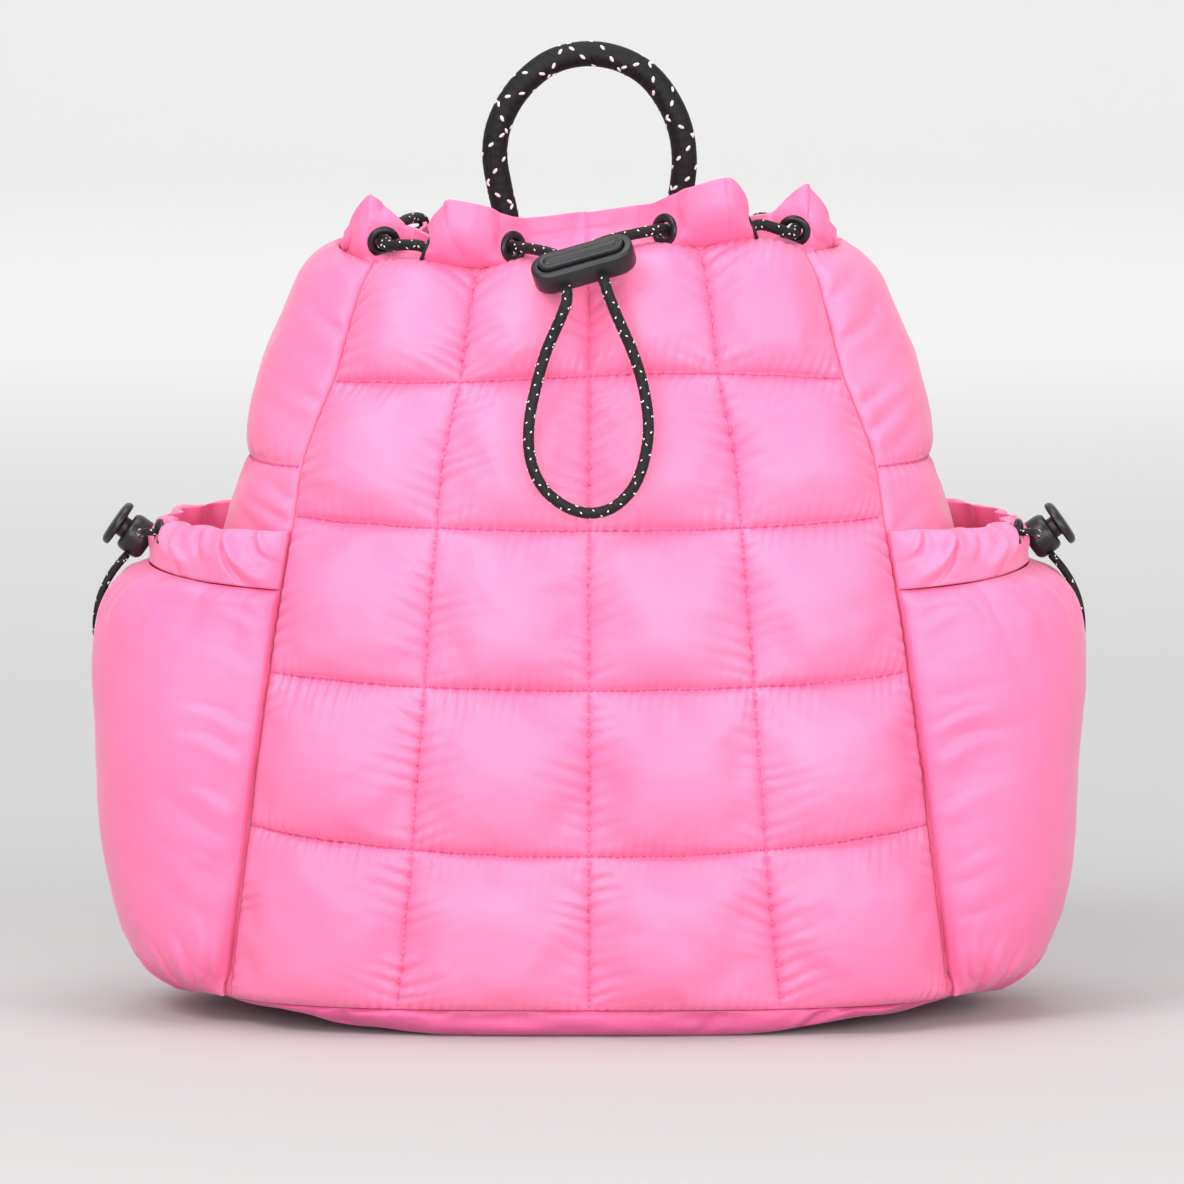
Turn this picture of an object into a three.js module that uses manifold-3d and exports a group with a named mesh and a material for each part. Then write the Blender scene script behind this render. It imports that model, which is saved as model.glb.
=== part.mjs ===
// A quilted puffer backpack with a drawcord collar, two stuffed-out side pockets and a rope handle.
// Millimetres. The front faces -Y, +X is to the viewer's right, +Z is up and the bag stands on Z = 0.
// Every cloth piece is a wall of its own with a small gap to its neighbours along the seams.
import * as THREE from "three";
import { mergeVertices } from "three/addons/utils/BufferGeometryUtils.js";
import Module from "manifold-3d";

const wasm = await Module();
wasm.setup();

// Body
const BODY_TOP = 303; // height of the seam under the collar
const BASE_SEAM = 11; // height of the seam above the base
const BODY_HALF_WIDTH = 152; // sewn line of the widest section
const BODY_HALF_DEPTH = 90;
const CORNER_POWER = 3; // 2 makes the plan an ellipse, more makes it squarer
const SEAM_WALL = 4; // thickness of the padded wall at a stitch line
const FRONT_PUFF = 10; // how far a front cell swells past its stitch lines
const FRONT_FULLNESS = 2.4; // more makes a cell's face flatter between the lines
const SIDE_PUFF = 3.5;
const SIDE_FULLNESS = 2.6;
const BACK_PUFF = 4;
const BACK_FULLNESS = 6;
const SEAM_GAP = 0.6; // between two pieces sewn together
const BASE_WALL = 4;
const BASE_BULGE = 1.2; // how far the base's side wall swells past the seam above it
const BASE_END_TUCK = 26; // how far the flat of the base stops short of that seam at the ends
const BASE_TUCK = 8; // and along the front and back
const BASE_BULGE_LEVEL = 0.75; // share of that seam's height
const FRONT_TILT = 4.5; // the front's top edge is lower on the left and higher on the right by this
const FRONT_TILT_AT = 55; // distance from the middle at which it is the most
const FRONT_TILT_FROM = 0.75; // share of the body's height at which it starts
const FRONT_TILT_DEPTH = 0.55; // share of the half depth over which it fades out towards the back

// Collar
const COLLAR_HEIGHT = 31;
const COLLAR_HALF_WIDTH = 100;
const COLLAR_HALF_DEPTH = 66;
const COLLAR_WALL = 1.5;
const COLLAR_TUCK = 7; // how far the collar reaches down inside the body
const COLLAR_ROOT = 0.25; // share of its cloth, from its lower edge, that stands straight
const COLLAR_OPENING = 0.5; // share over which its pleats open above that
const EYELET_RADIUS = 6.5;
const EYELET_HOLE = 3.3; // radius
const EYELET_FLANGE = 1; // thickness of each of its two flanges
const EYELET_CLEARANCE = 0.3;
const EYELET_SIDES = 8;
const EYELET_CUT = 5; // how deep the cloth round it is cut on either side

// Cords and rope
const CORD_DIAMETER = 4.5;
const POCKET_CORD_DIAMETER = 3;
const ROPE_DIAMETER = 10.3;
const CORD_SIDES = 8;
const CORD_CLEARANCE = 0.5; // between a cord's end and the hole that it enters

// Front cord lock
const LOCK_LENGTH = 41;
const LOCK_WIDTH = 15;
const LOCK_DEPTH = 10;
const LOCK_CENTRE = new THREE.Vector3(-2, -81, BODY_TOP + 1);
const LOCK_TILT_DEG = 15.8; // its right end is higher
const LOCK_FACE_UP_DEG = 54; // how far its button's face turns up from the horizontal
const LOCK_BUTTON_RIM = 3; // the housing's rim round the button
const LOCK_BUTTON_RISE = 2.6; // how far the button stands out of the housing
const LOCK_BUTTON_SINK = 3; // how far it reaches in at rest
const LOCK_WELL = 5.6; // depth of the well that it slides in
const LOCK_HOLE_SPACING = 14.5; // between the two cord holes of a side
const LOCK_HOLE_SHIFT = -1.8; // their middle lies to the left of the lock's
const LOCK_HOLE_DEPTH = 2;
const LOCK_SIDES = 5; // facets of each round end
const LOCK_EDGE = 1.2; // bevel
const LOCK_BUTTON_EDGE = 0.8;
const SLIDE_CLEARANCE = 0.4;

// Pockets
const POCKET_REACH = 44.5; // of its furthest point past the body's widest sewn line
const POCKET_HALF_SPAN = BODY_HALF_WIDTH + POCKET_REACH; // from the bag's middle
const POCKET_RIM_TOP = 198; // height
const POCKET_WALL = 2;
const POCKET_ROUNDNESS = 0.9; // less makes its plan squarer
const CASING_HEIGHT = 23; // of the gathered rim, at the bag's corner
const CASING_DIP = 0.25; // how much lower it is halfway round, as a share
const CASING_WALL = 4;
const RIM_GATHERS = 8;
const RIM_GATHER_DEPTH = 2.2;
const POCKET_SAG = 6.3; // how far its lower edge hangs below the base seam halfway round

// Pocket cord locks
const POCKET_LOCK_RADIUS = 8;
const POCKET_LOCK_HEIGHT = 11;
const POCKET_LOCK_DISC_RADIUS = 9.5;
const POCKET_LOCK_DISC = 3.5; // thickness
const POCKET_LOCK_TRAVEL = 2.6; // gap under the disc
const POCKET_LOCK_STEM_RADIUS = 4.2;
const POCKET_LOCK_STEM_SINK = 5;
const POCKET_LOCK_WELL = 8.2;
const POCKET_LOCK_SIDES = 10;
const POCKET_LOCK_TILT_DEG = 55; // its axis leans outwards from straight up
const POCKET_LOCK_GAP = 1.5; // between it and the crest of a gather
const POCKET_LOCK_ALONG = 0.57; // share of the way round the rim, from the front seam
const POCKET_LOCK_LEVEL = 182; // height of the cloth under its middle
const POCKET_EYELET_RADIUS = 5.5;
const POCKET_EYELET_ALONG = 0.375; // share of the way round the rim, on the crest of a gather
const POCKET_EYELET_LEVEL = 0.72; // share of the casing's height

// Shoulder straps
const STRAP_WIDTH = 52;
const STRAP_WALL = 9;
const STRAP_STANDOFF = 32; // furthest distance from the back panel
const STRAP_EDGE = 0.25; // share of its wall at its edges
const STRAP_FULLNESS = 3;
const WEBBING_WIDTH = 20;
const WEBBING_WALL = 1.6;
const BUCKLE_WIDTH = 28;
const BUCKLE_HEIGHT = 20;
const BUCKLE_WALL = 5;
const BUCKLE_SHIFT = 4; // outwards from the strap's middle
const BUCKLE_SLOT = 4; // height of each of its two slots
const BUCKLE_SLOT_AT = 0.2; // share of its height from its middle to a slot's middle
const BUCKLE_SLOT_CLEARANCE = 1;
const WEBBING_SPLAY = 14; // how far outside the buckle its lower end is
const WEBBING_SAG = 3;

// Body sections from the base seam (0) to the top seam (1). width and depth are shares of the body's
// half width and half depth, front_seam and rear_seam the sewn corners' shares of that section's
// half width, and back_shift moves the section back by a share of the half depth.
const SECTIONS = [
  { height: 0.0, width: 0.97, depth: 0.93, front_seam: 0.945, rear_seam: 0.8, back_shift: 0.0 },
  { height: 0.212, width: 0.995, depth: 1.0, front_seam: 0.877, rear_seam: 0.8, back_shift: 0.0 },
  { height: 0.435, width: 0.975, depth: 1.0, front_seam: 0.84, rear_seam: 0.8, back_shift: 0.0 },
  { height: 0.647, width: 0.882, depth: 0.955, front_seam: 0.852, rear_seam: 0.8, back_shift: 0.02 },
  { height: 0.743, width: 0.853, depth: 0.915, front_seam: 0.842, rear_seam: 0.8, back_shift: 0.04 },
  { height: 0.849, width: 0.791, depth: 0.85, front_seam: 0.812, rear_seam: 0.8, back_shift: 0.06 },
  { height: 0.921, width: 0.734, depth: 0.79, front_seam: 0.823, rear_seam: 0.8, back_shift: 0.075 },
  { height: 0.962, width: 0.706, depth: 0.75, front_seam: 0.825, rear_seam: 0.8, back_shift: 0.083 },
  { height: 1.0, width: 0.655, depth: 0.7, front_seam: 0.85, rear_seam: 0.8, back_shift: 0.09 },
];

// Stitch lines across the front: height as a share of the wall, and how far the line's ends rise,
// also as a share of the wall's height.
const FRONT_ROWS = [
  { height: 0.0, rise: 0.0 },
  { height: 0.212, rise: 0.032 },
  { height: 0.435, rise: 0.016 },
  { height: 0.647, rise: 0.011 },
  { height: 0.849, rise: -0.011 },
  { height: 1.0, rise: 0.0 },
];
const SIDE_ROWS = [
  { height: 0.0, rise: 0.0 },
  { height: 0.25, rise: 0.0 },
  { height: 0.5, rise: 0.0 },
  { height: 0.723, rise: 0.0 },
  { height: 1.0, rise: 0.0 },
];
const BACK_ROWS = [
  { height: 0.0, rise: 0.0 },
  { height: 1.0, rise: 0.0 },
];

// The outside of the base from its flat up: tuck is a share of its tucks, and level a share of the
// seam's height.
const BASE_PROFILE = [
  { tuck: 1.0, level: 0.0 },
  { tuck: 0.45, level: 0.14 },
  { tuck: 0.12, level: 0.4 },
];

// Pleats of the collar from the middle of the front round the viewer's left side to the middle of
// the back. seam is the share of the way round its lower edge, across and deep are shares of the
// collar's half width and half depth (front is negative), top is a share of its height.
const PLEATS = [
  { fold: "front_valley", seam: 0.0, across: 0.0, deep: -0.58, top: 0.58 },
  { fold: "front_flank", seam: 0.09, across: -0.25, deep: -0.72, top: 0.63 },
  { fold: "front_lobe_inner", seam: 0.135, across: -0.39, deep: -0.93, top: 0.84 },
  { fold: "front_lobe_peak", seam: 0.19, across: -0.55, deep: -1.0, top: 0.96 },
  { fold: "front_lobe_outer", seam: 0.235, across: -0.62, deep: -0.82, top: 0.6 },
  { fold: "side_valley", seam: 0.285, across: -0.63, deep: -0.58, top: 0.42 },
  { fold: "side_flank", seam: 0.325, across: -0.73, deep: -0.47, top: 0.5 },
  { fold: "side_lobe_peak", seam: 0.375, across: -0.86, deep: -0.54, top: 0.86 },
  { fold: "side_lobe_outer", seam: 0.43, across: -0.97, deep: -0.32, top: 0.3 },
  { fold: "side_lobe_rear", seam: 0.5, across: -0.81, deep: -0.04, top: 0.26 },
  { fold: "rear_valley", seam: 0.585, across: -0.68, deep: 0.14, top: 0.22 },
  { fold: "rear_flank", seam: 0.66, across: -0.64, deep: 0.38, top: 0.38 },
  { fold: "rear_lobe_corner", seam: 0.78, across: -0.53, deep: 0.62, top: 0.32 },
  { fold: "rear_lobe", seam: 0.9, across: -0.26, deep: 0.7, top: 0.26 },
  { fold: "rear_middle", seam: 1.0, across: 0.0, deep: 0.68, top: 0.28 },
];

// Eyelets of one half of the collar: fold is the place in the table of pleats, counted from 0, and
// level a share of the cloth's height.
const EYELETS = [
  { fold: 1.35, level: 0.53 },
  { fold: 4.45, level: 0.62 },
  { fold: 6.45, level: 0.52 },
  { fold: 9.45, level: 0.62 },
  { fold: 11.2, level: 0.58 },
];

// How far the pocket reaches out from the bag's middle, as a share of POCKET_HALF_SPAN, by height as
// a share of POCKET_RIM_TOP.
const POCKET_PROFILE = [
  { height: 0.02, reach: 0.8 },
  { height: 0.08, reach: 0.89 },
  { height: 0.13, reach: 0.921 },
  { height: 0.22, reach: 0.957 },
  { height: 0.35, reach: 0.979 },
  { height: 0.58, reach: 0.994 },
  { height: 0.68, reach: 1.0 },
  { height: 0.8, reach: 0.988 },
  { height: 0.87, reach: 0.952 },
  { height: 0.91, reach: 0.897 },
  { height: 0.95, reach: 0.872 },
  { height: 1.0, reach: 0.863 },
];
const POCKET_FLOOR = 22; // the pocket's cloth turns from its lower edge up to its side within this
const POCKET_ROW_CROWDING = 1.4; // more brings the mesh's rows closer together near the floor

// The padded strap down the back: share of the body's half width, of the standoff and of the body's
// height, and the strap's width as a share of STRAP_WIDTH.
const STRAP_ROUTE = [
  { across: 0.27, standoff: -0.045, height: 0.95, width: 0.8 },
  { across: 0.3, standoff: 0.42, height: 0.91, width: 0.95 },
  { across: 0.36, standoff: 0.85, height: 0.8, width: 1.0 },
  { across: 0.43, standoff: 1.0, height: 0.66, width: 1.0 },
  { across: 0.51, standoff: 0.92, height: 0.52, width: 0.85 },
  { across: 0.56, standoff: 0.75, height: 0.42, width: 0.55 },
];
const WEBBING_END = 0.07; // share of the body's height

// The free loop of the front drawcord, chosen along the photographed loop: x, y, and z from the
// top seam.
const LOOP_ROUTE = [
  [-9.1, -84.6, -7.3],
  [-8.7, -86.7, -8.7],
  [-8.5, -88.8, -10.6],
  [-8.9, -90.4, -13.5],
  [-10.2, -91.0, -17.2],
  [-12.0, -90.8, -21.5],
  [-14.0, -90.1, -26.0],
  [-16.7, -90.0, -32.5],
  [-18.9, -90.9, -39.5],
  [-21.1, -92.8, -48.0],
  [-22.8, -95.4, -56.2],
  [-23.5, -97.8, -63.7],
  [-23.2, -99.6, -70.7],
  [-21.4, -100.8, -78.0],
  [-17.8, -101.3, -84.6],
  [-12.6, -101.5, -89.6],
  [-6.4, -101.5, -93.1],
  [0.6, -101.5, -94.5],
  [7.6, -101.5, -93.1],
  [12.9, -101.5, -89.6],
  [17.2, -101.3, -84.6],
  [20.3, -100.8, -78.0],
  [22.2, -99.6, -70.7],
  [23.1, -97.8, -63.7],
  [22.9, -95.4, -56.2],
  [21.6, -92.8, -48.0],
  [19.6, -90.9, -40.0],
  [17.0, -89.9, -32.5],
  [13.8, -90.0, -25.0],
  [11.0, -90.9, -18.6],
  [9.0, -91.1, -13.6],
  [7.4, -90.6, -9.6],
  [6.4, -89.0, -6.5],
  [5.8, -87.0, -4.8],
  [5.0, -84.6, -3.4],
];

// The loop that hangs from the right pocket's lock, in the lock's own upright frame: out from the
// bag, towards the back, and up from the point where both strands leave the lock.
const POCKET_LOOP_ROUTE = [
  [0.0, -2.6, 0.0],
  [2.9, -3.2, -3.2],
  [5.8, -4.3, -7.0],
  [8.3, -5.6, -11.2],
  [10.2, -6.6, -15.6],
  [11.4, -7.2, -20.2],
  [12.0, -7.2, -24.8],
  [12.2, -6.2, -28.2],
  [12.3, -3.6, -30.7],
  [12.3, 0.0, -31.6],
  [12.3, 3.6, -30.7],
  [12.2, 6.2, -28.2],
  [12.0, 7.2, -24.8],
  [11.4, 7.2, -20.2],
  [10.2, 6.6, -15.6],
  [8.3, 5.6, -11.2],
  [5.8, 4.3, -7.0],
  [2.9, 3.2, -3.2],
  [0.0, 2.6, 0.0],
];

// The rope handle from its left end to its right end: x, y, and z from the top seam.
const HANDLE_ROUTE = [
  [-32.5, 76.0, 0.9],
  [-33.6, 76.0, 9.0],
  [-36.2, 75.2, 21.0],
  [-38.0, 74.0, 33.0],
  [-36.8, 73.0, 44.0],
  [-32.0, 72.5, 55.0],
  [-24.8, 72.0, 64.0],
  [-14.5, 72.0, 71.5],
  [-1.0, 72.0, 74.5],
  [12.0, 72.0, 72.5],
  [23.0, 72.0, 66.5],
  [31.0, 72.5, 57.0],
  [36.5, 73.0, 45.0],
  [38.4, 74.0, 33.0],
  [37.6, 75.2, 21.0],
  [35.2, 76.0, 9.0],
  [34.0, 76.0, 0.9],
];

const PINK = { color: 0xf77fbd, roughness: 0.45 };
const BLACK_CORD = { color: 0x141416, roughness: 0.8 };
const BLACK_PLASTIC = { color: 0x1c1a1d, roughness: 0.4 };

const radians = THREE.MathUtils.degToRad;
const mix = THREE.MathUtils.lerp;
const clamp01 = (value) => THREE.MathUtils.clamp(value, 0, 1);

// Reads one column of a table at a value of another column, with a smooth curve through the rows.
function readTable(table, key, column, at) {
  const last = table.length - 1;
  const value = THREE.MathUtils.clamp(at, table[0][key], table[last][key]);
  let row = 0;
  while (row < last - 1 && value > table[row + 1][key]) row += 1;
  const slope = (index) => {
    const before = table[Math.max(index - 1, 0)];
    const after = table[Math.min(index + 1, last)];
    return (after[column] - before[column]) / (after[key] - before[key]);
  };
  const span = table[row + 1][key] - table[row][key];
  const t = (value - table[row][key]) / span;
  const t2 = t * t;
  const t3 = t2 * t;
  return (
    (2 * t3 - 3 * t2 + 1) * table[row][column] +
    (t3 - 2 * t2 + t) * span * slope(row) +
    (3 * t2 - 2 * t3) * table[row + 1][column] +
    (t3 - t2) * span * slope(row + 1)
  );
}

// The body's sewn section at a height.
function sectionAt(z) {
  const share = clamp01((z - BASE_SEAM) / (BODY_TOP - BASE_SEAM));
  const read = (column) => readTable(SECTIONS, "height", column, share);
  const halfWidth = BODY_HALF_WIDTH * read("width");
  const halfDepth = BODY_HALF_DEPTH * read("depth");
  const corner = (seamShare) => Math.asin(Math.pow(seamShare, CORNER_POWER / 2));
  return {
    halfWidth,
    halfDepth,
    middle: BODY_HALF_DEPTH * read("back_shift"),
    frontCorner: corner(read("front_seam")),
    rearCorner: Math.PI - corner(read("rear_seam")),
  };
}

// A point of a section by its angle from straight ahead, turning towards +X.
function planPoint(section, angle) {
  const bend = (value) => Math.sign(value) * Math.pow(Math.abs(value), 2 / CORNER_POWER);
  return new THREE.Vector2(
    section.halfWidth * bend(Math.sin(angle)),
    section.middle - section.halfDepth * bend(Math.cos(angle)),
  );
}

// Each panel's first and last angle, going round from the front towards +X.
const PANEL_ANGLES = {
  front: (s) => [-s.frontCorner, s.frontCorner],
  right: (s) => [s.frontCorner, s.rearCorner],
  back: (s) => [s.rearCorner, 2 * Math.PI - s.rearCorner],
  left: (s) => [2 * Math.PI - s.rearCorner, 2 * Math.PI - s.frontCorner],
  around: () => [0, -2 * Math.PI], // the whole section, towards -X from the middle of the front
};
const ARC_STEPS = 72;

// The tilt of the front's top edge, which fades out down the front and towards the sides and back.
function slouch(point) {
  const high = THREE.MathUtils.smoothstep(point.z, BODY_TOP * FRONT_TILT_FROM, BODY_TOP);
  const front = clamp01(-point.y / (BODY_HALF_DEPTH * FRONT_TILT_DEPTH));
  const along = Math.sin((Math.PI / 2) * (point.x / FRONT_TILT_AT));
  const reach = Math.abs(point.x) < 2 * FRONT_TILT_AT ? 1 : 0;
  return point.setZ(point.z + FRONT_TILT * high * front * along * reach);
}

// The point at a share of the way along a panel's arc, by length, at a height.
function bodyPoint(panel, share, z) {
  const section = sectionAt(z);
  const [first, last] = PANEL_ANGLES[panel](section);
  const points = [];
  const lengths = [0];
  for (let i = 0; i <= ARC_STEPS; i += 1) {
    points.push(planPoint(section, mix(first, last, i / ARC_STEPS)));
    if (i > 0) lengths.push(lengths[i - 1] + points[i].distanceTo(points[i - 1]));
  }
  const total = lengths[ARC_STEPS];
  const inset = panel === "around" ? 0 : SEAM_GAP / 2 / total;
  const wanted = total * mix(inset, 1 - inset, share);
  let step = 1;
  while (step < ARC_STEPS && lengths[step] < wanted) step += 1;
  const part = (wanted - lengths[step - 1]) / (lengths[step] - lengths[step - 1]);
  const point = points[step - 1].clone().lerp(points[step], part);
  return new THREE.Vector3(point.x, point.y, z);
}

// The outward unit normal of a surface of two shares, whose first share runs to the right seen from
// outside and whose second runs up.
function outward(surface, u, v) {
  const step = 0.004;
  const across = surface(Math.min(u + step, 1), v).sub(surface(Math.max(u - step, 0), v));
  const up = surface(u, Math.min(v + step, 1)).sub(surface(u, Math.max(v - step, 0)));
  return across.cross(up).normalize();
}

const offset = (surface, distance) => (u, v) =>
  surface(u, v).addScaledVector(outward(surface, u, v), distance(u, v));

function geometryOf(points, faces) {
  const positions = new Float32Array(points.flatMap((point) => point.toArray()));
  const geometry = new THREE.BufferGeometry();
  geometry.setAttribute("position", new THREE.BufferAttribute(positions, 3));
  geometry.setIndex(faces.flat());
  return geometry;
}

// A closed wall between two surfaces over the same shares. The inner one has one step for each
// `coarse` steps of the outer in that direction, and a ring joins its first and last column.
function wall({ across, up, outer, inner, ring = false, coarse = { across: 1, up: 1 } }) {
  const points = [];
  const faces = [];
  const grid = (surface, columns, rows) => {
    const first = points.length;
    const width = ring ? columns : columns + 1;
    for (let j = 0; j <= rows; j += 1)
      for (let i = 0; i < width; i += 1) points.push(surface(i / columns, j / rows));
    return (i, j) => first + j * width + (ring ? i % columns : i);
  };
  const acrossIn = across / coarse.across;
  const upIn = up / coarse.up;
  const out = grid(outer, across, up);
  const inn = grid(inner, acrossIn, upIn);
  for (let j = 0; j < up; j += 1)
    for (let i = 0; i < across; i += 1) {
      faces.push([out(i, j), out(i + 1, j), out(i + 1, j + 1)]);
      faces.push([out(i, j), out(i + 1, j + 1), out(i, j + 1)]);
    }
  for (let j = 0; j < upIn; j += 1)
    for (let i = 0; i < acrossIn; i += 1) {
      faces.push([inn(i, j), inn(i, j + 1), inn(i + 1, j + 1)]);
      faces.push([inn(i, j), inn(i + 1, j + 1), inn(i + 1, j)]);
    }
  // One edge's strip, with `every` outer steps to each inner one.
  const strip = (count, every, outerAt, innerAt) => {
    const half = Math.ceil(every / 2);
    for (let k = 0; k < count / every; k += 1) {
      for (let m = 0; m < every; m += 1) {
        const near = m < half ? innerAt(k) : innerAt(k + 1);
        faces.push([outerAt(k * every + m + 1), outerAt(k * every + m), near]);
      }
      faces.push([outerAt(k * every + half), innerAt(k), innerAt(k + 1)]);
    }
  };
  strip(across, coarse.across, (k) => out(k, 0), (k) => inn(k, 0));
  strip(across, coarse.across, (k) => out(across - k, up), (k) => inn(acrossIn - k, upIn));
  if (!ring) {
    strip(up, coarse.up, (k) => out(across, k), (k) => inn(acrossIn, k));
    strip(up, coarse.up, (k) => out(0, up - k), (k) => inn(0, upIn - k));
  }
  return geometryOf(points, faces);
}

// A closed body through rings of points, with a fan to the middle of the first and last ring.
function ringLoft(rings) {
  const count = rings[0].length;
  const points = rings.flat();
  const faces = [];
  const at = (ring, i) => ring * count + (i % count);
  for (let ring = 0; ring < rings.length - 1; ring += 1)
    for (let i = 0; i < count; i += 1) {
      faces.push([at(ring, i), at(ring, i + 1), at(ring + 1, i + 1)]);
      faces.push([at(ring, i), at(ring + 1, i + 1), at(ring + 1, i)]);
    }
  const middleOf = (ring) =>
    ring.reduce((sum, point) => sum.add(point), new THREE.Vector3()).divideScalar(count);
  const first = points.push(middleOf(rings[0])) - 1;
  const last = points.push(middleOf(rings[rings.length - 1])) - 1;
  for (let i = 0; i < count; i += 1) {
    faces.push([first, at(0, i + 1), at(0, i)]);
    faces.push([last, at(rings.length - 1, i), at(rings.length - 1, i + 1)]);
  }
  return geometryOf(points, faces);
}

const fromTopSeam = ([x, y, z]) => new THREE.Vector3(x, y, BODY_TOP + z);

// A tube of a round section along points.
function cordGeometry(points, diameter, steps) {
  const curve = new THREE.CatmullRomCurve3(points, false, "centripetal");
  const section = new THREE.Shape();
  for (let i = 0; i < CORD_SIDES; i += 1) {
    const angle = (i / CORD_SIDES) * 2 * Math.PI;
    const corner = [(diameter / 2) * Math.cos(angle), (diameter / 2) * Math.sin(angle)];
    if (i === 0) section.moveTo(...corner);
    else section.lineTo(...corner);
  }
  section.closePath();
  return new THREE.ExtrudeGeometry(section, { steps, extrudePath: curve, curveSegments: 1 });
}

// Solids for cuts and joins.
function solidOf(geometry) {
  const bare = geometry.index ? geometry.toNonIndexed() : geometry.clone();
  for (const name of Object.keys(bare.attributes))
    if (name !== "position") bare.deleteAttribute(name);
  const merged = mergeVertices(bare, 1e-3);
  return new wasm.Manifold(
    new wasm.Mesh({
      numProp: 3,
      vertProperties: merged.attributes.position.array,
      triVerts: new Uint32Array(merged.index.array),
    }),
  );
}

function geometryFrom(solid) {
  const mesh = solid.getMesh();
  const geometry = new THREE.BufferGeometry();
  const positions = new Float32Array(mesh.numVert * 3);
  for (let i = 0; i < mesh.numVert; i += 1)
    for (let k = 0; k < 3; k += 1)
      positions[3 * i + k] = mesh.vertProperties[mesh.numProp * i + k];
  geometry.setAttribute("position", new THREE.BufferAttribute(positions, 3));
  geometry.setIndex(new THREE.BufferAttribute(mesh.triVerts, 1));
  return geometry;
}

const group = new THREE.Group();

function add(name, geometry, look) {
  const mesh = new THREE.Mesh(geometry, new THREE.MeshStandardMaterial(look));
  mesh.name = name;
  group.add(mesh);
  return mesh;
}

// Quilting: how full a cell is at a share of its width, 0 on both stitch lines.
const crown = (share, fullness) => 1 - Math.pow(Math.abs(2 * share - 1), fullness);

// A panel of the body between stitch lines. `columns` counts its cells across.
function quiltedPanel({ panel, rows, columns, steps, puff, fullness, coarse }) {
  const cells = rows.length - 1;
  const wallHeight = BODY_TOP - BASE_SEAM;
  const lineHeight = (row, u) =>
    BASE_SEAM + wallHeight * (row.height + row.rise * Math.pow(2 * u - 1, 2));
  const heightAt = (u, v) => {
    const cell = Math.min(Math.floor(v * cells), cells - 1);
    return mix(lineHeight(rows[cell], u), lineHeight(rows[cell + 1], u), v * cells - cell);
  };
  const sewn = (u, v) => bodyPoint(panel, u, heightAt(u, v));
  const swell = (u, v) => {
    const part = (share, count) => share * count - Math.min(Math.floor(share * count), count - 1);
    return puff * crown(part(u, columns), fullness) * crown(part(v, cells), fullness);
  };
  const swollen = offset(sewn, (u, v) => SEAM_WALL + swell(u, v));
  return wall({
    across: columns * steps.across,
    up: cells * steps.up,
    outer: (u, v) => {
      const point = swollen(u, v);
      return slouch(point.setZ(THREE.MathUtils.clamp(point.z, BASE_SEAM, BODY_TOP)));
    },
    inner: (u, v) => slouch(sewn(u, v)),
    coarse,
  });
}

function buildBody() {
  add(
    "front_panel",
    quiltedPanel({
      panel: "front",
      rows: FRONT_ROWS,
      columns: 4,
      steps: { across: 4, up: 4 },
      puff: FRONT_PUFF,
      fullness: FRONT_FULLNESS,
      coarse: { across: 1, up: 2 },
    }),
    PINK,
  );
  for (const side of ["left", "right"])
    add(
      "side_panel_" + side,
      quiltedPanel({
        panel: side,
        rows: SIDE_ROWS,
        columns: 1,
        steps: { across: 6, up: 4 },
        puff: SIDE_PUFF,
        fullness: SIDE_FULLNESS,
        coarse: { across: 1, up: 1 },
      }),
      PINK,
    );
  add(
    "back_panel",
    quiltedPanel({
      panel: "back",
      rows: BACK_ROWS,
      columns: 1,
      steps: { across: 8, up: 12 },
      puff: BACK_PUFF,
      fullness: BACK_FULLNESS,
      coarse: { across: 1, up: 2 },
    }),
    PINK,
  );
}

// The base: a flat floor with a low side wall that meets the seam all round and turns under it, most
// of all at the two ends.
function buildBase() {
  const sides = 28;
  const section = sectionAt(BASE_SEAM);
  const ringAt = (growEnds, growSides, z) => {
    const ring = [];
    const grown = {
      ...section,
      halfWidth: section.halfWidth + growEnds,
      halfDepth: section.halfDepth + growSides,
    };
    for (let i = 0; i < sides; i += 1) {
      const point = planPoint(grown, (i / sides) * 2 * Math.PI);
      ring.push(new THREE.Vector3(point.x, point.y, z));
    }
    return ring;
  };
  const rim = BASE_SEAM - SEAM_GAP / 2;
  const tucked = ({ tuck }, out) => [out - BASE_END_TUCK * tuck, out - BASE_TUCK * tuck];
  const [flat, bend, side] = BASE_PROFILE;
  add(
    "base_panel",
    ringLoft([
      ringAt(...tucked(flat, SEAM_WALL), rim * flat.level),
      ringAt(...tucked(bend, SEAM_WALL), rim * bend.level),
      ringAt(...tucked(side, SEAM_WALL), rim * side.level),
      ringAt(SEAM_WALL + BASE_BULGE, SEAM_WALL + BASE_BULGE, rim * BASE_BULGE_LEVEL),
      ringAt(SEAM_WALL, SEAM_WALL, rim),
      ringAt(0, 0, rim),
      ringAt(...tucked(bend, 0), rim * bend.level + BASE_WALL),
      ringAt(...tucked(flat, 0), rim * flat.level + BASE_WALL),
    ]),
    PINK,
  );
}

// A pleat table column at a place counted in folds, mirrored past the middle of the back. Folds run
// 0 to the last row on the viewer's left, and on to twice that on the right.
const HALF_FOLDS = PLEATS.length - 1;

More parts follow.
